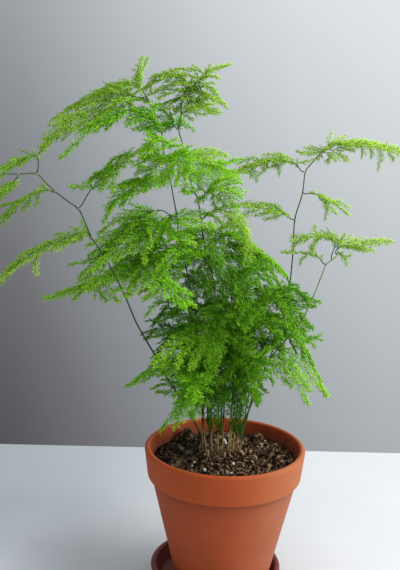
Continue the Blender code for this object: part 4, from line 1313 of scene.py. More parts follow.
# name: (stem, where it leaves the stem, half width in mm, bare fraction, roll, age, kind,
#        then u, v, y out to the tip)
FRONDS = {
    # left arching stem
    "frond_left_low": ("stem_left_arching", (92, 238), 12.5, 0.04, 14, 0.42, "light", [(86, 231, -0.018), (60, 241, -0.026), (33, 253, -0.034), (10, 270, -0.042), (-14, 290, -0.050)]),
    "frond_left_inner": ("stem_left_arching", (78.4, 209), 13, 0.22, 18, 0.44, "mid", [(92, 188, -0.012), (108, 172, -0.010), (124, 159, -0.010), (140, 151, -0.012), (153, 141, -0.014)]),
    "frond_left_middle": ("stem_left_arching", (55, 191.4), 12, 0.12, 18, 0.42, "light", [(47, 190, -0.010), (36, 193, -0.004), (23, 200, 0.004), (9, 211, 0.012), (-4, 223, 0.018), (-15, 236, 0.022)]),
    "frond_left_upper": ("stem_left_arching", (36.5, 174), 9, 0.24, 12, 0.36, "light", [(38, 159, -0.020), (34, 155.5, -0.022), (22, 160, -0.028), (5, 167, -0.034), (-12, 175, -0.040)]),
    "frond_left_tip": ("stem_left_arching", (18, 174), 16, 0.14, 18, 0.38, "light", [(13, 182, -0.016), (4, 191, -0.008), (-7, 203, -0.002), (-18, 214, 0.004)]),
    "frond_left_end": ("stem_left_arching", (-12, 177), 10, 0.05, 10, 0.36, "light", [(-20, 171, -0.030), (-30, 171, -0.034), (-44, 178, -0.040)]),
    # tall right stem
    "frond_right_inner": ("stem_right_tall", (294.9, 219.5), 11, 0.12, 16, 0.44, "light", [(283, 213, 0.026), (266, 209, 0.020), (250, 207, 0.014), (233, 205, 0.008)]),
    "frond_right_outer": ("stem_right_tall", (302.3, 194), 9, 0.16, 18, 0.56, "light", [(313, 193.5, 0.034), (326, 198, 0.040), (339, 207, 0.046), (349, 215, 0.050)]),
    "frond_right_upper": ("stem_right_tall", (305.2, 172.5), 12, 0.12, 14, 0.50, "light", [(295, 164, 0.030), (280, 159.5, 0.034), (262, 162, 0.036), (248, 166.5, 0.038), (235, 172, 0.040)]),
    "frond_right_end": ("stem_right_tall", (321.5, 152), 12, 0.04, 16, 0.54, "light", [(332, 143, 0.026), (349, 144, 0.022), (370, 145.5, 0.016), (391, 149.5, 0.010), (410, 157, 0.004), (424, 165, 0.000)]),
    # low right stem
    "frond_low_right_end": ("stem_right_low", (337, 256), 14, 0.12, 18, 0.64, "light", [(340, 247, 0.012), (354, 244, 0.010), (372, 243, 0.006), (390, 241, 0.002)]),
    "frond_low_right_inner": ("stem_right_low", (332, 259.7), 6, 0.30, 12, 0.56, "light", [(335, 243, 0.002), (324, 237, -0.002), (308, 237, -0.006), (292, 241, -0.010)]),
    "frond_low_right_back": ("stem_right_low", (326, 265), 4.5, 0.14, 12, 0.56, "light", [(317, 256, 0.016), (306, 253, 0.018), (294, 252.5, 0.020), (283, 252, 0.022)]),
    # left of the two central stems
    "frond_top_left": ("stem_centre_left", (146.8, 96.5), 18, 0.05, 28, 0.38, "light", [(120, 96, -0.006), (96, 112, -0.012), (70.5, 121, -0.020), (57, 130, -0.026), (44, 145, -0.032)]),
    "frond_top_left_far": ("stem_centre_left", (149.8, 103), 13, 0.16, 18, 0.36, "light", [(138, 86, 0.012), (116, 86.5, 0.024), (92, 97, 0.034), (72, 107, 0.042), (53, 119, 0.050)]),
    "frond_top_left_tip": ("stem_centre_left", (148, 99), 4, 0.08, 20, 0.50, "light", [(138, 84, -0.003), (137.5, 71, -0.004), (142, 57, -0.006)]),
    "frond_top_left_under": ("stem_centre_left", (155, 114), 8, 0.10, 20, 0.36, "mid", [(134, 109, -0.014), (106, 119, -0.030), (86, 132, -0.040), (74, 146, -0.046), (61, 157, -0.052)]),
    "frond_upper_left": ("stem_centre_left", (161.4, 131), 14, 0.08, 24, 0.38, "mid", [(150, 118, -0.008), (139, 118, -0.018), (128, 124, -0.026)]),
    "frond_upper_front": ("stem_centre_left", (162.5, 143), 11, 0.06, 26, 0.42, "mid", [(160, 138, -0.012), (156, 137, -0.030), (149, 141, -0.050)]),
    "frond_middle_left": ("stem_centre_left", (170, 179), 15, 0.06, 18, 0.42, "mid", [(158, 180, 0.000), (144, 184, -0.008), (131, 189, -0.016), (118, 197, -0.022), (109, 209, -0.028)]),
    "frond_middle_front": ("stem_centre_left", (166, 163), 17, 0.06, 20, 0.44, "mid", [(170, 156, -0.016), (176, 156, -0.034), (182, 162, -0.052), (188, 172, -0.068)]),
    "frond_lower_left": ("stem_centre_left", (176.8, 216), 16, 0.15, 20, 0.50, "mid", [(158, 210, 0.008), (134, 221, 0.007), (107, 250, 0.006), (94, 264, 0.006), (80, 276, 0.006)]),
    "frond_shelf_left": ("stem_centre_left", (182.5, 252), 16, 0.06, 20, 0.50, "mid", [(160, 252, 0.012), (130, 266, 0.014), (100, 280, 0.016), (70, 292, 0.018), (47, 298, 0.020)]),
    "frond_shelf_front": ("stem_centre_left", (184, 262), 8, 0.06, 14, 0.34, "mid", [(182, 250, -0.010), (176, 252, -0.030), (164, 266, -0.052), (150, 290, -0.070)]),
    # right of the two central stems
    "frond_top_right": ("stem_centre_right", (196, 88), 8, 0.10, 16, 0.46, "light", [(201, 78, 0.020), (210, 71, 0.018), (229, 65, 0.012)]),
    "frond_top_right_droop": ("stem_centre_right", (198.5, 86), 5, 0.06, 14, 0.46, "light", [(206, 84, 0.018), (211, 91, 0.010), (218, 99, 0.002), (227, 107, -0.004)]),
    "frond_top_middle": ("stem_centre_right", (185.4, 97), 9, 0.12, 18, 0.44, "light", [(188, 84, 0.026), (180, 77, 0.032), (168, 74, 0.038), (154, 76, 0.044)]),
    "frond_upper_right": ("stem_centre_right", (181, 113), 12, 0.06, 22, 0.46, "light", [(190, 108, 0.014), (203, 108, 0.006), (218, 113, -0.002)]),
    "frond_upper_back": ("stem_centre_right", (178.8, 129.6), 12, 0.06, 20, 0.38, "mid", [(172, 124, 0.034), (160, 124, 0.048), (146, 128, 0.062)]),
    "frond_middle_right": ("stem_centre_right", (197.8, 199), 16, 0.16, 16, 0.44, "mid", [(208, 191, 0.022), (218, 188, 0.016), (230, 190, 0.010), (240, 195, 0.004)]),
    "frond_middle_high": ("stem_centre_right", (186, 160), 8, 0.06, 16, 0.48, "light", [(197, 154, 0.024), (210, 153, 0.026), (226, 156, 0.028)]),
    "frond_middle_back": ("stem_centre_right", (189, 176), 18, 0.06, 26, 0.42, "mid", [(196, 164, 0.044), (207, 162, 0.064), (222, 168, 0.084), (236, 176, 0.100)]),
    "frond_lower_right": ("stem_centre_right", (200.9, 219), 9, 0.16, 16, 0.48, "light", [(212, 211, 0.016), (226, 211, 0.006), (240, 222, -0.004), (248, 236, -0.010)]),
    "frond_shelf_right": ("stem_centre_right", (205, 246), 15, 0.10, 16, 0.40, "mid", [(220, 233, 0.034), (240, 240, 0.040), (262, 255, 0.046), (282, 274, 0.050)]),
    "frond_shelf_back": ("stem_centre_right", (206, 250), 16, 0.08, 14, 0.34, "mid", [(200, 234, 0.046), (186, 232, 0.070), (164, 244, 0.094)]),
}

# Branches of a frond, which leave its axis near their first mark. The first number is the half
# width in mm of a spray, or 0 for a single plume; then age, the depth of the tip in mm beyond its
# start, and u, v out to the tip.
BRANCHES = {
    "frond_left_low": [
        (5, 0.44, -6, (40, 250), (35, 261), (36, 273)),
        (0, 0.44, 4, (86, 235), (78, 239), (70, 243)),
        (0, 0.42, 2, (84, 235), (70, 240), (54, 247)),
        (0, 0.42, -6, (64, 239), (56, 245), (51, 251)),
        (6, 0.42, 8, (50, 243), (36, 248), (18, 256)),
        (0, 0.40, -6, (30, 254), (18, 263), (6, 275)),
        (0, 0.42, -6, (16, 263), (7, 274), (-2, 287)),
    ],
    "frond_left_inner": [
        (0, 0.44, -16, (92, 184), (82, 187), (70, 186)),
        (6, 0.38, 6, (104, 172), (96, 175), (89, 181)),
        (7, 0.50, -22, (116, 168), (113, 178), (112, 190)),
        (0, 0.42, -10, (106, 176), (104, 184), (100, 190)),
        (0, 0.40, 12, (112, 166), (102, 171), (93, 180)),
        (0, 0.40, 12, (128, 155), (116, 158), (106, 166)),
        (6, 0.48, -14, (130, 160), (136, 165), (144, 167)),
        (7, 0.42, 6, (140, 150), (148, 146), (158, 137)),
        (7, 0.44, -8, (146, 150), (156, 150), (164, 148)),
    ],
    "frond_left_middle": [
        (0, 0.46, -4, (48, 189), (45, 185.5), (41, 186)),
        (0, 0.42, -8, (38, 194), (38, 200), (36, 205)),
        (5, 0.40, -6, (30, 196), (28, 203), (23, 209)),
        (6, 0.40, 8, (26, 198), (14, 202), (0, 206)),
        (0, 0.42, -6, (16, 206), (12, 213), (7, 219)),
        (0, 0.44, -6, (8, 213), (4, 220), (-4, 227)),
    ],
    "frond_left_upper": [
        (6, 0.38, 6, (36, 157), (42, 150), (48, 142)),
        (0, 0.38, -6, (28, 158), (16, 164), (4, 170)),
        (0, 0.36, -8, (12, 165), (6, 172), (-2, 178)),
        (0, 0.38, 4, (24, 160), (12, 164), (0, 167)),
    ],
    "frond_left_tip": [(0, 0.42, -6, (12, 183), (6, 187), (-2, 190))],
    "frond_right_inner": [
        (0, 0.44, 6, (281, 210), (274, 205), (266, 203)),
        (0, 0.46, -6, (280, 215), (272, 218), (264, 219)),
        (0, 0.44, -8, (272, 211), (264, 214), (256, 215)),
        (6, 0.42, -10, (256, 210), (247, 214), (238, 220)),
        (0, 0.44, 8, (262, 205), (252, 203), (242, 203)),
    ],
    "frond_right_outer": [
        (0, 0.56, 5, (320, 200), (327, 199), (334, 201)),
        (5, 0.56, -5, (324, 202), (330, 208), (336, 213)),
        (0, 0.54, -8, (326, 202), (327, 211), (325, 219)),
        (0, 0.54, 4, (334, 201), (342, 203), (349, 208)),
    ],
    "frond_right_upper": [
        (7, 0.46, -6, (286, 160), (272, 161), (256, 164)),
        (0, 0.50, 4, (296, 164), (303, 162), (309, 161)),
        (0, 0.46, -8, (274, 162), (279, 168), (279, 175)),
        (0, 0.44, -8, (266, 164), (264, 170), (260, 174)),
        (0, 0.46, -10, (252, 168), (256, 174), (257, 181)),
        (0, 0.44, 6, (256, 158), (246, 160), (238, 164)),
        (0, 0.44, -6, (246, 169), (250, 172), (252, 177)),
        (0, 0.48, -4, (284, 162), (274, 166), (262, 169)),
        (0, 0.50, 6, (284, 157), (274, 154.5), (264, 155)),
        (7, 0.50, -8, (256, 164), (246, 168), (236, 173)),
    ],
    "frond_right_end": [
        (8, 0.50, -6, (332, 144), (344, 145), (358, 146)),
        (7, 0.52, 4, (352, 142), (366, 142), (382, 145)),
        (9, 0.50, -5, (317, 152), (309, 153), (299, 152)),
        (0, 0.50, 5, (321, 149), (313, 147), (305, 148)),
        (9, 0.52, -14, (326, 148), (336, 153), (346, 160)),
        (7, 0.50, -10, (322, 150), (329, 155), (328, 162)),
        (0, 0.48, -8, (322, 152), (320, 157), (313, 160)),
        (0, 0.48, -8, (338, 147), (346, 149), (354, 151)),
        (0, 0.52, 6, (338, 143), (348, 142), (358, 142)),
        (0, 0.54, 6, (356, 143), (366, 142), (376, 142)),
        (0, 0.54, -4, (360, 146), (363, 151), (362, 157)),
        (0, 0.54, -4, (369, 147), (372, 152), (371, 158)),
        (0, 0.56, -5, (379, 149), (381, 158), (378, 169)),
        (0, 0.54, -4, (388, 151), (392, 156), (393, 161)),
        (0, 0.52, 4, (380, 145), (390, 146), (399, 150)),
    ],
    "frond_low_right_end": [
        (10, 0.60, -3, (336, 241), (326, 236), (317, 240)),
        (0, 0.62, 4, (342, 244), (334, 239), (326, 239)),
        (6, 0.62, -8, (348, 246), (358, 249), (368, 251)),
        (0, 0.60, 4, (338, 238), (330, 234), (321, 235)),
        (0, 0.62, 4, (346, 243), (356, 241), (364, 242)),
        (0, 0.62, 0, (341, 254), (346, 257), (351, 255)),
        (0, 0.62, -3, (341, 256), (345, 259), (346, 265)),
    ],
    "frond_low_right_inner": [
        (0, 0.58, 3, (318, 235), (314, 231), (316, 227)),
        (0, 0.58, -4, (318, 239), (313, 246), (313, 254)),
        (0, 0.58, 3, (304, 237), (298, 236), (292, 236)),
        (0, 0.58, -3, (300, 239), (295, 244), (293, 251)),
        (0, 0.56, -4, (308, 238), (302, 242), (297, 243)),
    ],
    "frond_low_right_back": [
        (0, 0.58, -4, (306, 255), (302, 259), (300, 263)),
        (0, 0.56, 4, (314, 254), (312, 250), (311, 246)),
    ],
    "frond_top_left": [
        (10, 0.38, -16, (118, 104), (104, 116), (90, 126)),
        (10, 0.36, 12, (118, 90), (98, 98), (78, 108)),
        (8, 0.42, 4, (126, 90), (112, 96), (100, 106)),
        (8, 0.38, -10, (128, 104), (116, 114), (104, 124)),
        (0, 0.34, 10, (92, 106), (76, 113), (58, 120)),
        (0, 0.36, 6, (82, 112), (68, 118), (54, 126)),
        (0, 0.38, -12, (84, 122), (72, 130), (62, 140)),
        (0, 0.38, -8, (70, 126), (60, 133), (50, 142)),
        (0, 0.40, 2, (50, 137), (43, 146), (38, 155)),
        (7, 0.40, -4, (68, 123), (59, 133), (50, 142), (43, 149)),
        (0, 0.38, -6, (100, 116), (90, 124), (80, 130)),
    ],
    "frond_top_left_far": [
        (0, 0.34, 6, (126, 82), (112, 84), (98, 90)),
        (0, 0.34, 6, (100, 91), (84, 98), (68, 107)),
        (0, 0.36, -6, (110, 90), (94, 99), (78, 107)),
        (0, 0.36, -6, (88, 100), (74, 108), (62, 117)),
        (0, 0.44, 3, (138, 82), (137, 76), (141, 69)),
    ],
    "frond_top_left_tip": [
        (0, 0.50, 2, (139, 78), (142, 69), (148, 58)),
        (0, 0.44, -3, (141, 82), (138, 75), (142, 66)),
        (0, 0.42, -4, (139, 88), (132, 88), (126, 93)),
    ],
    "frond_top_left_under": [
        (0, 0.36, -8, (112, 120), (102, 125), (94, 132)),
        (0, 0.34, 6, (100, 120), (90, 127), (80, 131)),
        (0, 0.38, -6, (122, 114), (112, 123), (106, 129)),
    ],
    "frond_upper_left": [
        (0, 0.40, 8, (152, 111), (142, 108), (132, 111)),
        (0, 0.38, -6, (146, 117), (137, 116), (128, 120)),
        (0, 0.40, -8, (148, 122), (141, 126), (134, 129)),
        (0, 0.42, 10, (156, 108), (148, 102), (138, 99), (128, 101)),
        (0, 0.42, -6, (154, 124), (147, 128), (140, 130)),
    ],
    "frond_upper_front": [
        (0, 0.50, 10, (164, 144), (170, 142), (176, 139)),
        (0, 0.50, -4, (164, 146), (172, 146), (182, 145)),
        (8, 0.44, -8, (154, 142), (148, 149), (143, 156)),
    ],
    "frond_middle_left": [
        (9, 0.42, 6, (156, 177), (139, 181), (122, 187)),
        (6, 0.40, -8, (150, 184), (137, 189), (124, 197)),
        (7, 0.40, 10, (146, 181), (132, 181), (118, 185)),
        (0, 0.40, 6, (160, 176), (166, 173), (174, 172)),
        (6, 0.40, -4, (132, 191), (128, 198), (121, 205)),
        (0, 0.40, -6, (114, 202), (108, 212), (103, 222)),
        (0, 0.38, 8, (132, 193), (122, 196), (112, 203)),
    ],
    "frond_middle_front": [
        (13, 0.46, -12, (162, 162), (154, 168), (146, 178)),
        (11, 0.44, -6, (156, 156), (148, 158), (140, 163)),
        (11, 0.44, -8, (176, 164), (170, 172), (160, 180)),
        (8, 0.40, -8, (182, 172), (186, 182), (184, 191)),
        (0, 0.42, 10, (172, 158), (162, 158), (150, 154)),
        (9, 0.42, -6, (170, 162), (168, 172), (163, 184)),
        (7, 0.42, 6, (176, 162), (180, 172), (177, 184)),
    ],
    "frond_lower_left": [
        (11, 0.50, -4, (150, 213), (140, 211), (128, 214), (114, 222), (100, 232)),
        (9, 0.48, -8, (118, 234), (107, 243), (98, 250), (89, 256)),
        (12, 0.50, -14, (156, 214), (140, 222), (122, 231), (105, 238), (88, 245)),
        (13, 0.50, -22, (162, 220), (148, 226), (134, 233), (120, 241)),
        (12, 0.50, -34, (146, 230), (126, 244), (108, 257), (92, 270)),
        (12, 0.50, -24, (154, 232), (142, 242), (128, 250), (114, 258)),
        (10, 0.44, 10, (168, 219), (180, 216), (196, 213), (212, 215)),
        (11, 0.54, -16, (168, 224), (182, 222), (198, 224), (214, 227)),
        (12, 0.50, -26, (164, 228), (174, 234), (184, 239), (193, 244)),
        (13, 0.36, 14, (150, 222), (142, 236), (132, 250), (126, 258)),
        (13, 0.38, 6, (162, 232), (156, 244), (150, 254), (142, 260)),
        (12, 0.36, 10, (170, 228), (178, 240), (188, 248), (200, 251)),
        (6, 0.54, -30, (148, 238), (144, 250), (145, 263)),
        (0, 0.44, -4, (104, 252), (90, 260), (70, 264)),
        (9, 0.46, -8, (114, 248), (104, 263), (92, 274), (80, 281)),
    ],
    "frond_shelf_left": [
        (12, 0.48, 4, (168, 254), (150, 260), (130, 265), (110, 270)),
        (13, 0.44, 14, (166, 248), (148, 250), (130, 256), (116, 262)),
        (13, 0.44, -14, (158, 256), (142, 264), (124, 272), (108, 278)),
        (12, 0.50, -26, (152, 268), (138, 277), (126, 285), (114, 291)),
        (11, 0.48, -30, (130, 274), (112, 276), (98, 280), (86, 288)),
        (11, 0.46, 10, (142, 270), (134, 282), (128, 292)),
        (7, 0.52, -16, (104, 282), (108, 292), (118, 301)),
        (12, 0.54, -24, (162, 266), (150, 276), (138, 286), (126, 296)),
        (8, 0.52, -12, (172, 282), (165, 293), (155, 304), (146, 315)),
        (7, 0.50, -10, (94, 286), (100, 294), (106, 300)),
        (8, 0.48, 8, (164, 262), (156, 273), (144, 283)),
        (8, 0.50, 4, (160, 270), (152, 284), (140, 293)),
        (0, 0.48, 0, (164, 268), (158, 290), (144, 300)),
        (0, 0.48, 2, (166, 276), (156, 284), (146, 290)),
        (11, 0.38, -6, (168, 254), (176, 256), (188, 260)),
        (0, 0.42, -6, (88, 286), (80, 293), (74, 300)),
        (0, 0.42, 6, (84, 284), (70, 289), (56, 294)),
    ],
    "frond_shelf_front": [
        (8, 0.35, -8, (162, 274), (172, 287), (184, 299), (193, 305)),
        (8, 0.33, -12, (158, 279), (167, 291), (178, 302), (186, 308)),
        (6, 0.33, -4, (160, 276), (176, 286), (190, 294)),
        (6, 0.50, -4, (158, 282), (152, 292), (145, 298)),
    ],
    "frond_top_right": [
        (8, 0.50, 4, (205, 74), (196, 70), (184, 69), (172, 70)),
        (0, 0.52, 4, (206, 72), (218, 67), (230, 64)),
        (8, 0.46, -4, (200, 79), (190, 76), (176, 76), (162, 78)),
        (8, 0.48, 0, (204, 77), (210, 76), (217, 78)),
        (7, 0.48, -8, (201, 82), (207, 85), (213, 90), (217, 94)),
        (8, 0.46, -10, (199, 83), (188, 83), (176, 84)),
        (6, 0.46, 0, (200, 82), (192, 88), (182, 91)),
    ],
    "frond_top_right_droop": [
        (5, 0.48, -6, (201, 90), (206, 97), (213, 100), (222, 103)),
        (6, 0.48, -2, (200, 87), (203, 93), (212, 96)),
        (7, 0.52, 0, (199, 88), (200, 102), (207, 109), (216, 111)),
        (6, 0.46, -8, (199, 88), (194, 96), (184, 99)),
    ],
    "frond_top_middle": [
        (9, 0.50, 4, (178, 76), (166, 78), (154, 82), (146, 87)),
        (9, 0.48, -8, (185, 82), (173, 84), (160, 89), (150, 94)),
        (9, 0.46, -14, (187, 88), (179, 89), (170, 92), (160, 98)),
        (7, 0.46, 0, (150, 86), (142, 89), (134, 94)),
        (8, 0.44, -4, (186, 91), (180, 97), (170, 102), (156, 106)),
        (8, 0.50, 8, (182, 77), (174, 74), (162, 74), (152, 77)),
        (7, 0.46, -10, (187, 88), (196, 92), (206, 95)),
        (8, 0.46, -4, (186, 91), (184, 101), (176, 112)),
        (7, 0.46, -2, (187, 88), (182, 96), (174, 101)),
        (6, 0.46, -4, (186, 92), (195, 101), (206, 106)),
    ],
    "frond_upper_right": [
        (0, 0.48, 10, (186, 104), (198, 99), (211, 97), (224, 102)),
        (0, 0.44, 6, (188, 103), (199, 103), (210, 104)),
        (0, 0.44, -8, (190, 111), (201, 114), (212, 113)),
        (0, 0.40, -8, (183, 114), (188, 117), (193, 120)),
        (6, 0.40, -8, (184, 113), (174, 109), (162, 108)),
    ],
    "frond_upper_back": [
        (0, 0.38, 8, (172, 120), (160, 117), (148, 118), (137, 122)),
        (0, 0.38, -6, (172, 127), (160, 130), (148, 130)),
        (0, 0.38, 4, (181, 126), (188, 126), (193, 130)),
        (7, 0.40, -8, (172, 121), (168, 114), (160, 110)),
    ],
    "frond_middle_right": [
        (13, 0.44, -14, (212, 186), (222, 180), (233, 178)),
        (13, 0.42, 10, (208, 186), (199, 179), (192, 169)),
        (8, 0.44, -12, (222, 190), (229, 198), (235, 208)),
        (0, 0.50, -8, (214, 194), (213, 201), (216, 208)),
        (7, 0.44, -6, (210, 190), (206, 196), (198, 201)),
        (7, 0.44, -8, (220, 190), (220, 198), (224, 205)),
        (9, 0.44, -18, (204, 190), (197, 190), (187, 193)),
    ],
    "frond_middle_high": [
        (0, 0.48, 6, (194, 153), (203, 150), (212, 149), (220, 151)),
        (0, 0.48, 4, (208, 154), (217, 153), (224, 153), (229, 157)),
        (0, 0.46, -6, (190, 156), (184, 154), (180, 153)),
        (8, 0.48, -10, (196, 157), (204, 159), (212, 163)),
    ],
    "frond_middle_back": [
        (12, 0.42, -10, (202, 166), (212, 172), (222, 181)),
        (11, 0.46, 12, (200, 162), (212, 161), (226, 162)),
        (0, 0.46, 8, (226, 163), (235, 160), (243, 159)),
        (0, 0.46, 4, (230, 171), (239, 171), (249, 173)),
        (0, 0.46, -4, (228, 177), (234, 180), (241, 183)),
    ],
    "frond_lower_right": [
        (8, 0.52, -8, (226, 216), (238, 224), (248, 233)),
        (0, 0.52, -4, (240, 227), (247, 236), (250, 247), (249, 257)),
        (0, 0.52, -6, (241, 230), (245, 242), (246, 254), (243, 264)),
        (7, 0.52, -4, (210, 212), (214, 217), (222, 223)),
        (6, 0.50, 4, (206, 214), (202, 219), (194, 222)),
        (0, 0.50, -6, (228, 214), (232, 222), (234, 231)),
        (0, 0.50, 4, (232, 213), (240, 216), (246, 222)),
    ],
    "frond_shelf_right": [
        (11, 0.56, -18, (216, 231), (228, 226), (244, 229)),
        (12, 0.50, -14, (222, 236), (236, 236), (250, 244)),
        (13, 0.26, -10, (222, 240), (238, 254), (252, 272), (262, 290)),
        (13, 0.26, 14, (240, 242), (259, 258), (274, 276), (286, 298)),
        (13, 0.24, -22, (214, 242), (222, 258), (232, 274), (240, 292)),
        (12, 0.30, 26, (244, 244), (262, 254), (280, 268), (292, 287)),
        (12, 0.26, 4, (228, 240), (246, 252), (262, 268), (274, 286)),
        (9, 0.50, -26, (236, 242), (246, 250), (250, 262)),
        (11, 0.48, -28, (214, 240), (204, 248), (196, 256)),
        (10, 0.40, -26, (216, 238), (216, 250), (222, 262)),
    ],
    "frond_shelf_back": [
        (12, 0.30, -6, (203, 246), (214, 262), (222, 282), (226, 304)),
        (12, 0.30, 6, (202, 242), (200, 262), (202, 282), (208, 302)),
        (11, 0.34, -20, (196, 238), (186, 250), (176, 258)),
        (12, 0.38, -14, (198, 240), (182, 246), (164, 252)),
        (11, 0.32, -12, (206, 256), (211, 268), (213, 282), (207, 298)),
        (10, 0.36, -24, (203, 252), (191, 259), (179, 267), (172, 282)),
        (9, 0.32, -12, (205, 266), (202, 282), (194, 299)),
    ],
}

# the kinds 'light', 'mid' and 'deep' pick the lit, half-shaded and shaded copies of the foliage colour
KINDS = {"light": LIT_FOLIAGE, "mid": HALF_SHADED_FOLIAGE, "deep": SHADED_FOLIAGE}

frond_triangles = {}


def finish_foliage(name, shape, kind):
    obj = shape.build("leafy_" + name, KINDS[kind], True)
    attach(obj, "root")
    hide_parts(name)
    frond_triangles[name] = sum(len(f) for f in shape.faces)


def branch_off(path, marks, deeper):
    """A line that leaves an axis near its first mark and goes through the marks."""
    s = np.linspace(0.03, 0.95, 160) * path.length
    near = ((seen(path.at(s)) - np.array(marks[0])) ** 2).sum(1)
    s0 = max(s[int(np.argmin(near))] - 0.004, 0.02 * path.length)
    p0 = path.at(s0)
    flat = np.array([seen(p0), *marks], float)
    gone = np.cumsum(np.linalg.norm(np.diff(flat, axis=0), axis=1))
    ends = [sight(u, v, p0[1] + deeper * w) for (u, v), w in zip(marks, gone / gone[-1])]
    p1 = p0 + unit(unit(ends[0] - p0) + path.along(s0)) * min(0.004, 0.4 * float(np.linalg.norm(ends[0] - p0)))
    return smooth([p0, p1, *ends], 0.003)


for name, (stem_name, leaves, half_mm, bare, roll, age, kind, marks) in FRONDS.items():
    rng = rand_of(name)
    here, along, radius = on_stem(stem_name, *leaves)
    out = [sight(*mark) for mark in marks]
    toward = out[0] - here
    away = unit(toward - along * np.dot(toward, along))
    first = here + away * (radius + CLEARANCE + 0.0001)
    second = here + away * (radius + 0.0022) + unit(toward) * 0.0012
    line = smooth([first, second] + out, 0.003)
    shape = Shape()
    hair = {"thick": THICK[kind], "fine": FINE[kind]}
    close = {"pitch": 0.0030 * CLOSE[kind], "twig_pitch": 0.00118 * CLOSE[kind]}
    path = spray(shape, rng, line, half_mm * 0.001, bare, age, roll, **hair, **close)
    for side_mm, side_age, deeper, *side_marks in BRANCHES.get(name, ()):
        points = branch_off(path, side_marks, deeper / 1000)
        if side_mm:
            spray(shape, rng, points, side_mm * 0.001, 0.04, side_age, roll, stalk=0.00036, woody=(0.7, 1.0), **hair, **close)
        else:
            plume_line(shape, rng, points, side_age, **hair)
    finish_foliage(name, shape, kind)

# ---------------------------------------------------------------- lower bush

# name: (base x, base y, heading in degrees from +X round +Z, reach, rise, tip height above the
#        crown, half width, age, kind), lengths in mm
BUSH = {
    "bush_frond_01": (-16, 1, 204, 68, 87, 71, 10, 0.36, "mid"),
    "bush_frond_02": (-19, 10, 176, 46, 134, 112, 11, 0.42, "deep"),
    "bush_frond_03": (-6, 1, 262, 60, 130, 90, 16, 0.56, "deep"),
    "bush_frond_04": (-11, 1, 238, 56, 78, 44, 15, 0.34, "mid"),
    "bush_frond_05": (-2, 3, 286, 52, 164, 128, 16, 0.54, "deep"),
    "bush_frond_06": (3, 0, 298, 47, 88, 62, 10, 0.54, "deep"),
    "bush_frond_07": (7, 1, 319, 70, 146, 100, 15, 0.54, "deep"),
    "bush_frond_08": (14, 10, 4, 74, 104, 51, 12, 0.36, "mid"),
    "bush_frond_09": (5, 10, 8, 64, 140, 111, 13, 0.58, "deep"),
    "bush_frond_10": (12, 18, 52, 70, 116, 76, 15, 0.44, "deep"),
    "bush_frond_11": (5, 20, 68, 68, 162, 124, 15, 0.42, "deep"),
    "bush_frond_12": (-1, 20, 90, 66, 112, 68, 16, 0.36, "deep"),
    "bush_frond_13": (-11, 18, 122, 70, 150, 108, 15, 0.40, "deep"),
    "bush_frond_14": (-17, 15, 150, 58, 100, 66, 14, 0.42, "deep"),
}

# side sprays of a bush frond: (fraction of the stalk, turn in degrees, length, rise, drop), mm
BUSH_SIDES = [(0.26, -75, 33, 10, 10), (0.31, 62, 42, 10, 10), (0.40, -66, 46, 12, 9), (0.50, 58, 46, 12, 10), (0.61, -54, 42, 9, 10), (0.73, 50, 36, 7, 10)]

# more of the bush, as in BRANCHES: half width, age, depth, then u, v out to the tip
BUSH_MORE = {
    "bush_frond_01": [
        (13, 0.49, -47, (197, 380), (206, 352), (198, 340), (180, 341), (164, 352), (154, 364)),
        (11, 0.50, -51, (196, 374), (207, 348), (206, 342), (197, 352), (192, 368)),
        (9, 0.48, -50, (197, 378), (205, 352), (196, 341), (185, 350), (177, 366)),
        (8, 0.40, -44, (197, 380), (202, 356), (190, 350), (174, 354), (162, 366)),
        (7, 0.34, -4, (198, 386), (184, 389), (170, 392), (158, 392)),
        (9, 0.42, -8, (198, 380), (184, 374), (168, 372), (150, 375), (128, 385)),
    ],
    "bush_frond_04": [
        (5, 0.50, -12, (203, 378), (198, 398), (192, 418)),
        (5, 0.50, -8, (200, 376), (193, 388), (186, 404)),
        (6, 0.30, -4, (190, 390), (174, 412), (161, 430)),
    ],
    "bush_frond_08": [
        (10, 0.54, -16, (280, 347), (294, 359), (309, 375), (327, 394)),
        (8, 0.52, -22, (274, 352), (288, 366), (299, 383), (307, 403)),
        (9, 0.46, -30, (268, 356), (282, 364), (296, 376), (310, 390)),
        (9, 0.46, -24, (266, 362), (278, 371), (291, 386)),
    ],
    "bush_frond_02": [
        (9, 0.48, -18, (196, 320), (184, 317), (172, 316), (160, 321)),
        (9, 0.46, -26, (196, 334), (182, 330), (168, 331), (154, 336)),
    ],
    "bush_frond_03": [
        (9, 0.34, -14, (212, 380), (214, 396), (214, 412), (212, 427)),
        (9, 0.30, -11, (219, 382), (220, 398), (221, 414), (219, 431)),
        (5, 0.34, 10, (210, 386), (207, 400), (207, 412), (209, 424)),
    ],
    "bush_frond_05": [
        (8, 0.44, 6, (238, 366), (243, 384), (243, 402), (240, 412)),
        (9, 0.30, -13, (231, 380), (233, 396), (235, 412), (235, 429)),
    ],
    "bush_frond_07": [
        (8, 0.32, -10, (240, 384), (241, 398), (241, 414), (239, 430)),
        (6, 0.46, -8, (250, 386), (254, 396), (257, 404)),
    ],
    "bush_frond_09": [
        (10, 0.54, -12, (270, 294), (284, 300), (298, 304), (314, 306)),
        (10, 0.50, 8, (270, 316), (282, 328), (290, 340), (296, 352)),
        (10, 0.60, -12, (270, 300), (286, 308), (300, 318), (312, 328)),
        (9, 0.58, 6, (272, 300), (288, 312), (298, 326), (306, 340)),
        (9, 0.66, -4, (278, 292), (294, 294), (308, 300), (318, 302)),
    ],
}
NO_SIDE = {("bush_frond_01", 0.40), ("bush_frond_01", 0.61), ("bush_frond_04", 0.31), ("bush_frond_04", 0.50)}
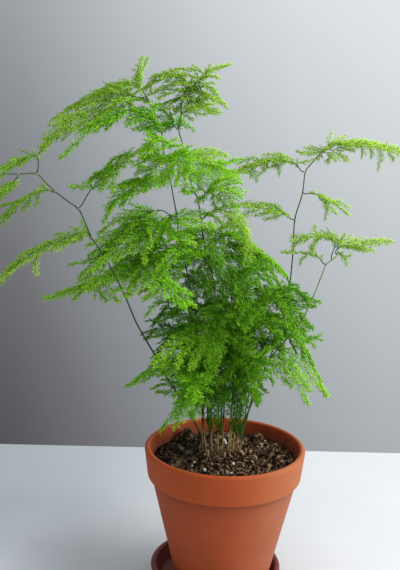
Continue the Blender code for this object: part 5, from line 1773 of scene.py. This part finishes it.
LOW_SIDES = {"bush_frond_10": 0.45, "bush_frond_03": 0.28, "bush_frond_05": 0.28, "bush_frond_06": 0.35, "bush_frond_07": 0.45, "bush_frond_08": 0.45}
SIDE_REACH = {"bush_frond_07": 0.90, "bush_frond_08": 0.56, "bush_frond_09": 0.80, "bush_frond_01": 0.66, "bush_frond_02": 0.60, "bush_frond_06": 0.46, "bush_frond_10": 0.80, "bush_frond_14": 0.66}

for name, (bx, by, heading, reach, rise, tip, half_mm, age, kind) in BUSH.items():
    rng = rand_of(name)
    far = 1.3 if by > 15 else 1.0
    a = math.radians(heading)
    out = np.array((math.cos(a), math.sin(a), 0.0)) / 1000
    base = np.array((bx / 1000, by / 1000, crown_top(bx / 1000, by / 1000) + CLEARANCE + 0.0004))
    lift = Z / 1000
    knots = [
        base,
        base + out * (reach * 0.10) + lift * (rise * 0.55),
        base + out * (reach * 0.30) + lift * (rise * 0.90),
        base + out * (reach * 0.58) + lift * rise,
        base + out * (reach * 0.82) + lift * (rise * 0.55 + tip * 0.45),
        base + out * reach + lift * tip,
    ]
    shape = Shape()
    path = spray(shape, rng, smooth(knots, 0.003), half_mm * 0.00120, 0.34, age, 0.0, stalk=0.00055, woody=(0.0, 1.0), droop=0.22, pitch=0.0031 * far, flat=0.42, brush=0.6, thick=THICK[kind], fine=FINE[kind])
    for fraction, turn, span, up_mm, drop in BUSH_SIDES:
        if fraction < LOW_SIDES.get(name, 0.0) or (name, fraction) in NO_SIDE:
            continue
        s = (fraction + rng.uniform(-0.03, 0.03)) * path.length
        p0 = path.at(s)
        b = a + math.radians(turn + rng.uniform(-14, 14))
        w = np.array((math.cos(b), math.sin(b), 0.0)) / 1000
        span = span * rng.uniform(0.85, 1.12) * SIDE_REACH.get(name, 1.0)
        knots = [
            p0,
            p0 + w * span * 0.22 + lift * up_mm * 0.85,
            p0 + w * span * 0.55 + lift * up_mm,
            p0 + w * span * 0.82 + lift * (up_mm - drop * 0.45),
            p0 + w * span + lift * (up_mm - drop),
        ]
        spray(shape, rng, smooth(knots, 0.003), 0.0140, 0.10, age + rng.uniform(-0.10, 0.02), 0.0, stalk=0.00036, woody=(0.62, 1.0), droop=0.20, pitch=0.0048 * far, flat=0.42, brush=0.62, thick=THICK[kind], fine=FINE[kind])
    for side_mm, side_age, deeper, *side_marks in BUSH_MORE.get(name, ()):
        points = branch_off(path, side_marks, deeper / 1000)
        if side_mm:
            spray(shape, rng, points, side_mm * 0.001, 0.10, side_age, 18.0, stalk=0.00036, woody=(0.7, 1.0), flat=0.36, brush=0.6, thick=0.00038)
        else:
            plume_line(shape, rng, points, side_age, thick=0.00038)
    finish_foliage(name, shape, kind)

# ---------------------------------------------------------------- a fallen leaf bit on the soil


def leaf_bit():
    made, tree, shader = material("fallen_leaf", 0.6, 0.3)
    place = place_of(tree)
    veins = grain(tree, scaled(tree, place, (900.0, 250.0, 900.0)), 1.0, 3.0, 0.6)
    tree.links.new(ramp(tree, veins, [(0.3, (0.030, 0.050, 0.012)), (0.6, (0.070, 0.110, 0.022)), (0.8, (0.16, 0.17, 0.05))]), shader.inputs["Base Color"])
    tree.links.new(ramp(tree, veins, [(0.3, 0.5), (0.7, 0.7)]), shader.inputs["Roughness"])
    bump(tree, shader, veins, 0.4, 0.0003)
    a, b = on_soil(178, 447.5, 0.0022), on_soil(190, 457.5, 0.0012)
    count, sides = 14, 8
    t = np.linspace(0, 1, count)
    line = a + (b - a) * t[:, None] + Z * (0.0022 * np.sin(np.pi * t))[:, None]
    along = unit(np.gradient(line, axis=0))
    across = unit(np.cross(along, Z))
    up = np.cross(across, along)
    wide = 0.0024 * np.sin(np.pi * (0.04 + 0.92 * t)) ** 0.8
    points = []
    for k in range(count):
        for j in range(sides):
            q = 2 * math.pi * j / sides
            cup = 0.30 * wide[k] * abs(math.cos(q)) ** 2
            points.append(line[k] + across[k] * wide[k] * math.cos(q) + up[k] * (0.00022 * math.sin(q) + cup))
    faces = []
    for k in range(count - 1):
        for j in range(sides):
            i = (j + 1) % sides
            faces.append((k * sides + j, k * sides + i, (k + 1) * sides + i, (k + 1) * sides + j))
    mesh = bpy.data.meshes.new("fallen_leaf")
    faces.append(tuple(range(sides))[::-1])
    faces.append(tuple((count - 1) * sides + j for j in range(sides)))
    mesh.from_pydata([tuple(q) for q in points], [], faces)
    mesh.update()
    for polygon in mesh.polygons:
        polygon.use_smooth = True
    mesh.materials.append(made)
    obj = bpy.data.objects.new("fallen_leaf", mesh)
    pieces.objects.link(obj)
    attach(obj, "root")


leaf_bit()

# ---------------------------------------------------------------- sizes

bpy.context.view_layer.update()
counts = {o.name: len(o.data.loop_triangles) if o.data.loop_triangles else sum(len(p.vertices) - 2 for p in o.data.polygons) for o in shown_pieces() if o.type == "MESH"}
print("TRIANGLES", sum(counts.values()), "most", max(counts.items(), key=lambda kv: kv[1]))
